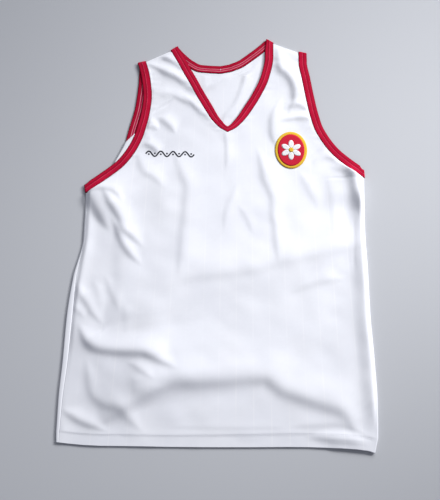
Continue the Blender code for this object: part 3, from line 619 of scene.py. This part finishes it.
def add_panel(name, patches, finish):
    """A panel of cloth: its patches joined to one surface, facing up, and given the wall's thickness."""
    bm = bmesh.new()
    chart = bm.loops.layers.uv.new("cloth")
    for patch in patches:
        points = [[bm.verts.new(point) for point in row] for row in placed(patch)]
        for low, high in zip(points, points[1:]):
            for c in range(len(low) - 1):
                bm.faces.new((low[c], low[c + 1], high[c + 1], high[c]))
    bmesh.ops.remove_doubles(bm, verts=bm.verts, dist=WELD)
    bmesh.ops.recalc_face_normals(bm, faces=bm.faces)
    for face in bm.faces:
        for loop in face.loops:
            loop[chart].uv = grain(loop.vert.co.x + LAY_MIDDLE[0], loop.vert.co.y + LAY_MIDDLE[1])
    made = add_object(name, bm, finish)
    wall = made.modifiers.new("wall", "SOLIDIFY")
    wall.thickness = KNIT
    wall.offset = 0.0
    return made


# A binding's section from its seam: (share of the width, height over the middle in half thicknesses)
OUTER_FACE = [
    (0.0, 0.35), (0.03, 0.60), (0.07, 0.80), (0.14, 0.93), (0.26, 0.98), (0.38, 0.98), (0.45, 1.02),
    (0.48, 1.04), (0.50, 1.05), (0.52, 1.02), (0.56, 0.90), (0.64, 0.96), (0.78, 1.0), (0.89, 0.90),
    (0.95, 0.72), (1.0, 0.35),
]
INNER_FACE = [
    (1.0, -0.35), (0.95, -0.78), (0.86, -0.96), (0.62, -1.0), (0.53, -0.98), (0.49, -0.80),
    (0.46, -0.95), (0.30, -1.0), (0.14, -0.96), (0.05, -0.78), (0.0, -0.35),
]
SECTION = OUTER_FACE + INNER_FACE
Station = namedtuple("Station", "point across normal width")


def unit(vector):
    vector = np.asarray(vector, float)
    return vector / norm(vector, axis=-1, keepdims=True)


def lengths_along(points):
    return np.concatenate([[0.0], np.cumsum(norm(np.diff(points, axis=0), axis=1))])


def spread(points, cell):
    """The same line with its points a cell apart."""
    length = lengths_along(points)
    at = np.linspace(0, length[-1], max(2, round(length[-1] / cell)) + 1)
    return np.column_stack([np.interp(at, length, points[:, axis]) for axis in (0, 1)])


def widths_along(seam, free_side, start, end):
    """Unit plan directions across a binding: square to its seam, and turned to its folds at both ends.

    free_side is 1 where the free edge is on the left of the seam's run, else -1.
    """
    run = unit(np.gradient(seam, axis=0))
    across = np.column_stack([-run[:, 1], run[:, 0]]) * free_side
    length = lengths_along(seam)
    for end_fold, distance in ((start, length), (end, length[-1] - length)):
        share = smooth_step(1 - distance / FOLD_BLEND)[:, None]
        across = unit(across * (1 - share) + unit(end_fold) * share)
    return across


def mitred(seam):
    """Widths of a binding that narrows towards its mitre at the start of its seam."""
    share = smooth_step(lengths_along(seam) / MITRE_REACH)
    return MITRE_WIDTH + (BINDING_WIDTH - MITRE_WIDTH) * share


def arc_stations(seam, across, level, rests, width=BINDING_WIDTH):
    """Stations along one layer of a binding."""
    normal = np.array([0.0, 0.0, -1.0 if rests else 1.0])
    widths = np.broadcast_to(width, len(seam))
    points = np.column_stack([seam + across * SEAM_GAP, np.broadcast_to(level, len(seam))])
    directions = np.column_stack([across, 0 * widths])
    return [Station(point, direction, normal, w) for point, direction, w in zip(points, directions, widths)]


def fold_stations(last, following, outward):
    """The stations that take a binding round its fold from one layer to the other."""
    turn = [math.radians(angle) for angle in FOLD_ANGLES]
    if last.point[2] < following.point[2]:
        turn.reverse()
    centre = (last.point[2] + following.point[2]) / 2
    radius = abs(last.point[2] - following.point[2]) / 2
    away = np.array([*unit(outward), 0.0])
    normals = [away * math.cos(angle) + (0.0, 0.0, math.sin(angle)) for angle in turn]
    middle = np.array([*last.point[:2], centre])
    return [Station(middle + normal * radius, last.across, normal, last.width) for normal in normals]


def binding_points(stations, share, height):
    """Places on a binding at one share of its width and one height over its middle."""
    return np.array([s.point + s.across * s.width * share + s.normal * height for s in stations])


def add_binding(name, stations, finish):
    """A closed ring swept through its stations. Its chart runs along it, and across it from 0 to 2."""
    bm = bmesh.new()
    chart = bm.loops.layers.uv.new("cloth")
    half = BINDING_THICKNESS / 2
    middle = binding_points(stations, 0.5, 0.0)
    along = np.append(lengths_along(middle), 0.0)
    along[-1] = along[-2] + norm(middle[0] - middle[-1])
    across = [share for share, _ in OUTER_FACE] + [2 - share for share, _ in INNER_FACE]
    rings = []
    for s in stations:
        across_width, thick = s.across * s.width, s.normal * half
        section = [s.point + across_width * share + thick * height for share, height in SECTION]
        rings.append([bm.verts.new(corner) for corner in placed(section)])
    for index, (ring, following) in enumerate(zip(rings, rings[1:] + rings[:1])):
        for c in range(len(ring)):
            after = (c + 1) % len(ring)
            face = bm.faces.new((ring[c], ring[after], following[after], following[c]))
            near, far = across[c], across[after] if after else 2.0
            here, there = along[index : index + 2]
            for loop, place in zip(face.loops, ((here, near), (here, far), (there, far), (there, near))):
                loop[chart].uv = place
    bmesh.ops.recalc_face_normals(bm, faces=bm.faces)
    return add_object(name, bm, finish)


def armhole_stations(side, underarm_fold, tip_fold, outward):
    """Up the front's armhole seam, over the shoulder tip, down the back's seam and round the underarm."""
    free_side = 1 if side == "left" else -1
    arcs = []
    for lay, level in ((FRONT, BOUND_LEVEL), (BACK, BACK_BINDING_LEVEL)):
        seam = spread(lay.armhole_seam(side), BINDING_CELL)
        across = widths_along(seam, free_side, underarm_fold, tip_fold)
        arcs.append(arc_stations(seam, across, level, rests=lay is BACK))
    front, back = arcs[0], arcs[1][::-1]
    over_shoulder = fold_stations(front[-1], back[0], (0.0, 1.0))
    round_underarm = fold_stations(back[-1], front[0], outward)
    return front + over_shoulder + back + round_underarm


def turned_edge_patch(stations):
    """The white edge of the back, turned under beside the front's left binding and on the back's."""
    beside = [s for s in stations if s.normal[2] > 0.99 and TURNED_LOW_Y < s.point[1] < TURNED_HIGH_Y]
    widths = smooth(TURNED_WIDTHS, np.linspace(0, len(TURNED_WIDTHS) - 1, len(beside)))
    shares = np.linspace(0, 1, TURNED_STEPS + 1)
    rows = []
    for s, width in zip(beside, widths):
        near = s.point + s.across * (s.width + SEAM_GAP)
        rows.append(near + s.across * width * shares[:, None])
    rows = np.array(rows)
    rows[..., 2] = TURNED_LEVEL + TURNED_PUFF * np.sin(math.pi * shares)
    return rows


def neck_stations():
    """From the point of the V up the left side, along the back's neck and down the right side."""
    fronts = []
    for side, free_side, end in (("left", -1, LEFT_NECK_FOLD), ("right", 1, RIGHT_NECK_FOLD)):
        seam = spread(FRONT.neck_seam(side), BINDING_CELL)
        across = widths_along(seam, free_side, (0.0, 1.0), end)
        fronts.append(arc_stations(seam, across, neck_level(seam), False, mitred(seam)))
    left, right = fronts[0], fronts[1][::-1]
    back_seam = np.vstack([BACK.neck_seam("left")[::-1], BACK.neck_seam("right")[1:]])
    back_seam = spread(back_seam, BINDING_CELL)
    back_across = widths_along(back_seam, 1, LEFT_NECK_FOLD, RIGHT_NECK_FOLD)
    back = arc_stations(back_seam, back_across, BACK_BINDING_LEVEL, True)
    left_fold = fold_stations(left[-1], back[0], LEFT_NECK_OUTWARD)
    right_fold = fold_stations(back[-1], right[0], RIGHT_NECK_OUTWARD)
    return left + left_fold + back + right_fold + right[:-1]


# Materials


class Nodes:
    """A material under construction."""

    def __init__(self, name, colour, roughness):
        self.made = bpy.data.materials.new(name)
        self.made.use_nodes = True
        self.tree = self.made.node_tree
        self.shader = self.tree.nodes["Principled BSDF"]
        self.set("Base Color", (*colour, 1.0))
        self.set("Roughness", roughness)
        self.set("Metallic", 0.0)

    def node(self, kind, inputs=(), **settings):
        """A node with some of its inputs given, each with its name or number."""
        made = self.tree.nodes.new("ShaderNode" + kind)
        for key, value in settings.items():
            setattr(made, key, value)
        for key, value in inputs:
            self.put(made.inputs[key], value)
        return made

    def put(self, socket, value):
        if isinstance(value, bpy.types.NodeSocket):
            self.tree.links.new(value, socket)
        else:
            socket.default_value = value

    def set(self, name, value):
        self.put(self.shader.inputs[name], value)

    def math(self, operation, *values):
        return self.node("Math", enumerate(values), operation=operation).outputs[0]

    def chart(self):
        """The cloth's own two directions, in metres."""
        place = self.node("UVMap", uv_map="cloth").outputs[0]
        return self.node("SeparateXYZ", [(0, place)]).outputs[:2]

    def noise(self, scale):
        place = self.node("TexCoord").outputs["Object"]
        return self.node("TexNoise", [("Scale", scale), ("Vector", place)]).outputs["Fac"]

    def between(self, value, low, high, start, end):
        """start where the value is low and end where it is high, with a smooth step between."""
        values = (value, low, high, start, end)
        return self.node("MapRange", enumerate(values), interpolation_type="SMOOTHSTEP").outputs[0]

    def ramp(self, value, stops):
        made = self.node("ValToRGB", [(0, value)])
        elements = made.color_ramp.elements
        while len(elements) < len(stops):
            elements.new(0.5)
        for element, (place, colour) in zip(elements, stops):
            element.position = place
            element.color = (*colour, 1.0)
        return made.outputs[0]

    def mix(self, share, first, second):
        made = self.node("Mix", data_type="RGBA")
        sockets = [s for s in made.inputs if s.enabled]
        for socket, given in zip(sockets, (share, first, second)):
            self.put(socket, (*given, 1.0) if isinstance(given, tuple) else given)
        return next(s for s in made.outputs if s.enabled)

    def wave(self, place, pitch):
        """Rows of a knit or weave across one direction of the chart, from -1 to 1."""
        return self.math("SINE", self.math("MULTIPLY", place, math.tau / pitch))

    def bump(self, height, distance, strength):
        made = self.node("Bump", [("Distance", distance), ("Strength", strength), ("Height", height)])
        self.set("Normal", made.outputs[0])


def knit_material(name):
    """Fine white knit with faint satin pinstripes that come and go, and painted shade in the holes between
    its loops.
    """
    made = Nodes(name, (0.86, 0.87, 0.92), 0.75)
    across, along = made.chart()
    place = made.math("FRACT", made.math("DIVIDE", across, STRIPE_PITCH))
    from_stripe = made.math("ABSOLUTE", made.math("SUBTRACT", place, 0.5))
    stripe = made.between(from_stripe, 0.44, 0.49, 0.0, 1.0)
    stripe = made.math("MULTIPLY", stripe, made.between(made.noise(7.0), 0.35, 0.65, 0.12, 0.65))
    loops = made.math("MULTIPLY", made.wave(across, WALE), made.wave(along, COURSE))
    # painted shade: a darker, bluish colour in the holes between the knit's loops
    shaded_holes = made.between(loops, 0.55, 0.95, 0.0, 0.14)
    cloud = made.between(made.noise(9.0), 0.3, 0.7, 0.0, 1.0)
    colour = made.mix(cloud, (0.842, 0.850, 0.908), (0.868, 0.874, 0.924))
    colour = made.mix(stripe, colour, (0.912, 0.913, 0.950))
    colour = made.mix(shaded_holes, colour, (0.62, 0.64, 0.74))
    made.set("Base Color", colour)
    made.set("Roughness", made.between(stripe, 0.0, 1.0, 0.75, 0.50))
    made.set("Sheen Weight", 0.08)
    made.set("Sheen Roughness", 0.5)
    made.set("Specular IOR Level", 0.25)
    made.bump(loops, 0.00006, 0.6)
    return made.made


def binding_material(name):
    """Crimson rib with a lighter seam allowance inside, and painted light and shade: darker towards its
    rounded edges and in its stitched groove, lighter across the middle of its outer face and on the crests
    of its ribs.
    """
    made = Nodes(name, (0.44, 0.004, 0.030), 0.85)
    along, across = made.chart()
    # The ramp paints shade towards the binding's rounded edges and in its stitched groove, and paints light
    # across the middle of its outer face; the stitched and thread stops are the colour of its thread.
    edge, painted_shade = (0.13, 0.001, 0.010), (0.26, 0.002, 0.018)
    deep, painted_light = (0.42, 0.004, 0.029), (0.54, 0.007, 0.042)
    stitched, allowance, thread = (0.66, 0.030, 0.085), (0.50, 0.016, 0.070), (0.80, 0.34, 0.40)
    stops = [
        (0.000, edge), (0.016, painted_shade), (0.045, deep), (0.110, painted_light), (0.205, painted_light), (0.226, stitched),
        (0.250, stitched), (0.262, deep), (0.285, painted_shade), (0.320, deep), (0.400, painted_light), (0.455, deep),
        (0.484, painted_shade), (0.500, edge), (0.516, painted_shade), (0.560, deep), (0.700, deep), (0.712, painted_shade),
        (0.722, thread), (0.736, thread), (0.746, allowance), (0.842, allowance), (0.850, thread),
        (0.864, thread), (0.874, deep), (0.950, deep), (0.978, painted_shade), (1.000, edge),
    ]
    shade = made.ramp(made.math("DIVIDE", across, 2.0), stops)
    rib = made.math("MULTIPLY", made.wave(along, RIB), 0.5)
    cloud = made.between(made.noise(45.0), 0.3, 0.7, 0.0, 0.30)
    colour = made.mix(cloud, shade, (0.27, 0.002, 0.018))
    # painted highlight: lighter on the crests of the rib
    colour = made.mix(made.between(rib, 0.2, 0.5, 0.0, 0.08), colour, (0.62, 0.03, 0.09))
    made.set("Base Color", colour)
    made.set("Roughness", made.between(cloud, 0.0, 0.30, 0.82, 0.90))
    made.set("Specular IOR Level", 0.08)
    made.bump(rib, 0.00010, 0.6)
    return made.made


def thread_material(name, colour):
    """Embroidery or sewing thread, with fine satin ridges: painted shade between them and painted light on
    their crests.
    """
    made = Nodes(name, colour, 0.7)
    across, along = made.chart()
    ridges = made.wave(made.math("ADD", across, made.math("MULTIPLY", along, THREAD_SLANT)), THREAD)
    # painted shade between the thread's ridges and painted light on their crests
    shade = tuple(channel * 0.80 for channel in colour)
    light = tuple(min(1.0, channel * 1.08) for channel in colour)
    tint = made.mix(made.between(ridges, -1.0, 1.0, 0.0, 1.0), shade, light)
    made.set("Base Color", tint)
    made.set("Roughness", made.between(ridges, -1.0, 1.0, 0.80, 0.62))
    made.set("Specular IOR Level", 0.15)
    made.bump(ridges, 0.00008, 0.5)
    return made.made


WHITE = knit_material("white_knit")
CRIMSON = binding_material("crimson_binding")
CRIMSON_THREAD = thread_material("crimson_thread", (0.82, 0.14, 0.21))
WHITE_THREAD = thread_material("white_thread", (0.74, 0.75, 0.82))
BADGE_RED = thread_material("badge_red", (0.60, 0.010, 0.038))
BADGE_GOLD = thread_material("badge_gold", (0.80, 0.50, 0.040))
BADGE_WHITE = thread_material("badge_white", (0.88, 0.87, 0.88))
PRINT_DARK = thread_material("print_dark", (0.018, 0.020, 0.030))


# The cloth
front = add_panel("front_cloth", front_patches(), WHITE)
back = add_panel("back_cloth", back_patches(), WHITE)
left_ring = armhole_stations("left", LEFT_UNDERARM_FOLD, LEFT_TIP_FOLD, (-1.0, 0.0))
right_ring = armhole_stations("right", RIGHT_UNDERARM_FOLD, RIGHT_TIP_FOLD, (1.0, 0.0))
neck_ring = neck_stations()
left_binding = add_binding("left_armhole_binding", left_ring, CRIMSON)
right_binding = add_binding("right_armhole_binding", right_ring, CRIMSON)
neck_binding = add_binding("neck_edge_binding", neck_ring, CRIMSON)
turned_edge = add_panel("left_armhole_turned_edge", [turned_edge_patch(left_ring)], WHITE)

# What lies on the front
bpy.context.view_layer.update()
cloth = BVHTree.FromObject(front, bpy.context.evaluated_depsgraph_get())


def on_front(x, y, lift=0.0):
    """A point over the front's outer face, in the object's own frame, and the face's normal there."""
    place = placed([x, y, 0.0])
    hit, normal = cloth.ray_cast(Vector((place[0], place[1], 1.0)), Vector((0.0, 0.0, -1.0)))[:2]
    return np.array([place[0], place[1], hit.z + lift]), np.array(normal)


def add_closed(name, bm, finish):
    """An object of closed bodies, whose chart is their plan."""
    bmesh.ops.recalc_face_normals(bm, faces=bm.faces)
    chart = bm.loops.layers.uv.new("cloth")
    for face in bm.faces:
        for loop in face.loops:
            loop[chart].uv = loop.vert.co.xy
    return add_object(name, bm, finish)


def add_patches(name, shapes, low, high, finish):
    """Closed flat bodies that follow the front, each from its outline's plan offsets round a centre."""
    bm = bmesh.new()
    for outline, centre, rings in shapes:
        layers = []
        for lift in (low, high):
            middle = bm.verts.new(on_front(*centre, lift)[0])
            loops = [
                [bm.verts.new(on_front(*(centre + offset * ring / rings), lift)[0]) for offset in outline]
                for ring in range(1, rings + 1)
            ]
            layers.append((middle, loops))
        for spoke in range(len(outline)):
            after = (spoke + 1) % len(outline)
            for middle, loops in layers:
                bm.faces.new((middle, loops[0][spoke], loops[0][after]))
                for near, far in zip(loops, loops[1:]):
                    bm.faces.new((near[spoke], far[spoke], far[after], near[after]))
            low_rim, high_rim = layers[0][1][-1], layers[1][1][-1]
            bm.faces.new((low_rim[spoke], low_rim[after], high_rim[after], high_rim[spoke]))
    return add_closed(name, bm, finish)


def oval(width, height, count=72, turned=0.0):
    """Plan offsets of an oval's outline, turned by an angle."""
    angles = np.linspace(0, math.tau, count, endpoint=False)
    x, y = width / 2 * np.sin(angles), height / 2 * np.cos(angles)
    cos, sin = math.cos(turned), math.sin(turned)
    return np.column_stack([x * cos + y * sin, y * cos - x * sin])


# The badge: an oval patch with a rim of gold, a red field and a white rosette with a gold eye
TOP = BADGE_LIFT + BADGE_THICKNESS
RIM_WIDTH = 0.005
LAYER = 0.0004  # how far each layer of the embroidery stands over the one below
PETALS = 6
PETAL_LENGTH = 0.017
PETAL_WIDTH = 0.010
PETAL_OFFSET = 0.0115  # from the middle of the rosette to the middle of a petal
EYE_SIZE = 0.009
centre = np.array(BADGE_CENTRE)
petals = []
for petal in range(PETALS):
    angle = math.tau * petal / PETALS
    middle = centre + PETAL_OFFSET * np.array([math.sin(angle), math.cos(angle)])
    petals.append((oval(PETAL_WIDTH, PETAL_LENGTH, 20, angle), middle, 3))
rim = [(oval(BADGE_WIDTH, BADGE_HEIGHT), centre, 12)]
field = [(oval(BADGE_WIDTH - 2 * RIM_WIDTH, BADGE_HEIGHT - 2 * RIM_WIDTH), centre, 10)]
eye = [(oval(EYE_SIZE, EYE_SIZE, 20), centre, 2)]
badge_rim = add_patches("badge_rim", rim, BADGE_LIFT, TOP, BADGE_GOLD)
badge_field = add_patches("badge_field", field, TOP - LAYER / 2, TOP + LAYER / 2, BADGE_RED)
badge_rosette = add_patches("badge_rosette", petals, TOP, TOP + LAYER, BADGE_WHITE)
badge_eye = add_patches("badge_eye", eye, TOP, TOP + 2 * LAYER, BADGE_GOLD)

# The ornament on the other side of the chest: a wavy ribbon with a dot in each of its bends
ORNAMENT_CENTRE = (-0.094, 0.542)
ORNAMENT_LENGTH = 0.090
ORNAMENT_WAVES = 4
ORNAMENT_SWING = 0.0052
ORNAMENT_DOT = 0.0034
ORNAMENT_DOT_SHIFT = 0.0008  # from the middle line away from the bend that the dot lies in
RIBBON_WIDTH = 0.0026
RIBBON_STEPS = 24  # a wave
PRINT_LIFT = 0.0002
at = np.linspace(-0.5, 0.5, ORNAMENT_WAVES * RIBBON_STEPS + 1)
swing = ORNAMENT_SWING * np.sin(at * ORNAMENT_WAVES * math.tau)
ribbon_line = np.column_stack([at * ORNAMENT_LENGTH, swing]) + ORNAMENT_CENTRE
ribbon_run = unit(np.gradient(ribbon_line, axis=0))
ribbon_side = np.column_stack([-ribbon_run[:, 1], ribbon_run[:, 0]]) * RIBBON_WIDTH / 2
ribbon_bm = bmesh.new()
ribbon_corners = ((-1, -PRINT_LIFT), (1, -PRINT_LIFT), (1, PRINT_LIFT), (-1, PRINT_LIFT))
ribbon_rings = [
    [ribbon_bm.verts.new(on_front(*(point + side * part), lift)[0]) for part, lift in ribbon_corners]
    for point, side in zip(ribbon_line, ribbon_side)
]
for ring, following in zip(ribbon_rings, ribbon_rings[1:]):
    for c in range(4):
        ribbon_bm.faces.new((ring[c], ring[(c + 1) % 4], following[(c + 1) % 4], following[c]))
ribbon_bm.faces.new(ribbon_rings[0])
ribbon_bm.faces.new(ribbon_rings[-1])
ornament_ribbon = add_closed("ornament_ribbon", ribbon_bm, PRINT_DARK)
dots = []
for bend in range(2 * ORNAMENT_WAVES):
    x = ((bend + 0.5) / (2 * ORNAMENT_WAVES) - 0.5) * ORNAMENT_LENGTH
    y = ORNAMENT_DOT_SHIFT * (-1 if bend % 2 == 0 else 1)
    dots.append((oval(ORNAMENT_DOT, ORNAMENT_DOT, 14), np.array(ORNAMENT_CENTRE) + (x, y), 1))
ornament_dots = add_patches("ornament_dots", dots, -PRINT_LIFT, PRINT_LIFT, PRINT_DARK)

# Stitches
Stitch = namedtuple("Stitch", "pitch length width height")
HEM_STITCHES = Stitch(0.0034, 0.0026, 0.0006, 0.0005)
BINDING_STITCHES = Stitch(0.0030, 0.0024, 0.0006, 0.0006)
SEAM_STITCHES = Stitch(0.0032, 0.0018, 0.0009, 0.0005)
TACK = Stitch(0.0050, 0.0050, 0.0014, 0.0007)
TWIN = 0.0012  # from the hem's line to each of its two rows
HEM_POINTS = 120
SEAM_ENDS = 2  # rows at each end of the side seam that have no stitches
TACK_SPAN = (0.35, 0.66)  # of the binding's width


def add_stitches(name, seams, stitch, finish):
    """Rows of stitches, each a small closed lozenge. A seam is its points and their normals."""
    bm = bmesh.new()
    for points, normals in seams:
        length = lengths_along(points)
        at = np.arange(stitch.pitch / 2, length[-1], stitch.pitch)
        half = stitch.length / 2
        behind, centre, ahead, normal = (
            np.column_stack([np.interp(at + shift, length, source[:, axis]) for axis in range(3)])
            for source, shift in ((points, -half), (points, 0.0), (points, half), (normals, 0.0))
        )
        side = unit(np.cross(unit(normal), ahead - behind)) * stitch.width / 2
        lift = unit(normal) * stitch.height / 2
        for corners in zip(behind, ahead, centre + side, centre + lift, centre - side, centre - lift):
            tail, head, *ring = [bm.verts.new(corner) for corner in corners]
            for one, two in zip(ring, ring[1:] + ring[:1]):
                bm.faces.new((tail, one, two))
                bm.faces.new((head, two, one))
    return add_closed(name, bm, finish)


def front_seam(plan_points):
    """Points and normals on the front's outer face."""
    found = [on_front(x, y) for x, y in plan_points]
    return np.array([point for point, _ in found]), np.array([normal for _, normal in found])


def ring_seam(stations):
    """Points and normals down the stitched line of a binding, all the way round it."""
    lift = dict(OUTER_FACE)[0.50] * BINDING_THICKNESS / 2
    round_it = stations + stations[:1]
    return placed(binding_points(round_it, 0.5, lift)), np.array([s.normal for s in round_it])


hem = TUBE[0]
hem_x = np.linspace(hem.left_x + 3 * hem.strip, hem.right_x - hem.strip, HEM_POINTS)
hem_y = np.interp(hem_x, [hem.left_x, hem.mid_x, hem.right_x], [hem.left_y, hem.mid_y, hem.right_y])
hem_y += hem_rise(hem_x) + hem_stitch(hem_x)
hem_rows = [front_seam(np.column_stack([hem_x, hem_y + shift])) for shift in (-TWIN, TWIN)]
hem_stitches = add_stitches("hem_stitches", hem_rows, HEM_STITCHES, WHITE_THREAD)
side = FRONT.edges["left"][: FRONT.underarm + 1].copy()
side[:, 0] += FRONT.tube_column("strip") + SEAM_STITCHES.width
side_rows = [front_seam(side[SEAM_ENDS:-SEAM_ENDS])]
side_stitches = add_stitches("left_side_seam_stitches", side_rows, SEAM_STITCHES, WHITE_THREAD)
rings = [ring_seam(ring) for ring in (left_ring, right_ring, neck_ring)]
binding_stitches = add_stitches("binding_stitches", rings, BINDING_STITCHES, CRIMSON_THREAD)
tack_place = min(neck_ring, key=lambda s: s.point[1] + s.normal[2])
tack_ends = [tack_place.point + tack_place.across * tack_place.width * share for share in TACK_SPAN]
tack_line = placed(tack_ends) + (0.0, 0.0, BINDING_THICKNESS / 2)
tack = add_stitches("neck_tack", [(tack_line, np.tile((0.0, 0.0, 1.0), (2, 1)))], TACK, WHITE_THREAD)

# Camera: 18 degrees from straight down, over the hem's side
CAMERA_TARGET = Vector((-0.0008, -0.0375, 0.004))
CAMERA_DISTANCE = 1.8
CAMERA_TILT = math.radians(18)
CAMERA_ROLL = math.radians(1)
CAMERA_LENS = 72
CAMERA_SENSOR = 36
turn = Matrix.Rotation(CAMERA_TILT, 3, "X") @ Matrix.Rotation(CAMERA_ROLL, 3, "Z")
camera_data = bpy.data.cameras.new("camera")
camera_data.lens = CAMERA_LENS
camera_data.sensor_width = CAMERA_SENSOR
camera = linked("camera", camera_data)
camera_place = CAMERA_TARGET + turn @ Vector((0, 0, CAMERA_DISTANCE))
camera.matrix_world = Matrix.Translation(camera_place) @ turn.to_4x4()
bpy.context.scene.camera = camera
bpy.context.scene.view_settings.view_transform = "Standard"

# Floor: plain pale paper
FLOOR_GREY = (0.52, 0.53, 0.56)
FLOOR_HALF = 4.0
FLOOR_LEVEL = -0.0004  # under the stitches of the bindings' undersides
floor_bm = bmesh.new()
bmesh.ops.create_grid(floor_bm, x_segments=2, y_segments=2, size=FLOOR_HALF)
floor = add_object("floor", floor_bm, Nodes("floor", FLOOR_GREY, 0.8).made)
floor.location.z = FLOOR_LEVEL

# Lights
Light = namedtuple("Light", "name place aim size power colour")
LIGHTS = [
    Light("key", (2.30, 1.35, 1.50), (0.11, -0.04, 0.0), 0.50, 468.0, (1.0, 1.0, 1.0)),
    Light("back", (0.9, 2.4, 1.6), (0.1, -0.2, 0.0), 1.2, 46.0, (0.97, 0.985, 1.0)),
]
KEY_CONE = math.radians(33)
WORLD_COLOUR = (0.84, 0.88, 1.0, 1.0)
WORLD_STRENGTH = 0.27
for light in LIGHTS:
    lamp = bpy.data.lights.new(light.name, "SPOT" if light.name == "key" else "AREA")
    if lamp.type == "SPOT":
        lamp.spot_size = KEY_CONE
        lamp.spot_blend = 1.0
        lamp.shadow_soft_size = light.size
    else:
        lamp.size = light.size
    lamp.energy = light.power
    lamp.color = light.colour
    lamp_object = linked(light.name, lamp)
    lamp_object.location = light.place
    lamp_object.rotation_mode = "QUATERNION"
    lamp_object.rotation_quaternion = (Vector(light.aim) - Vector(light.place)).to_track_quat("-Z", "Y")
world = bpy.data.worlds.new("world")
bpy.context.scene.world = world
world.use_nodes = True
background = world.node_tree.nodes["Background"]
background.inputs["Color"].default_value = WORLD_COLOUR
background.inputs["Strength"].default_value = WORLD_STRENGTH

# What each piece stands for
PIECES = [
    (front, "front_panel", "white_knit"),
    (back, "back_panel", "white_knit"),
    (left_binding, "armhole_binding_left", "crimson_binding"),
    (right_binding, "armhole_binding_right", "crimson_binding"),
    (neck_binding, "neck_binding", "crimson_binding"),
    (badge_rim, "chest_badge", "badge_embroidery"),
    (badge_field, None, "badge_embroidery"),
    (badge_rosette, None, "badge_embroidery"),
    (badge_eye, None, "badge_embroidery"),
    (ornament_ribbon, None, "badge_embroidery"),
    (ornament_dots, None, "badge_embroidery"),
    (turned_edge, None, "white_knit"),
    (hem_stitches, None, "white_knit"),
    (side_stitches, None, "white_knit"),
    (binding_stitches, None, "crimson_binding"),
    (tack, None, "white_knit"),
]
for piece, node, slot in PIECES:
    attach(piece, "root")
    if node:
        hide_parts(node)
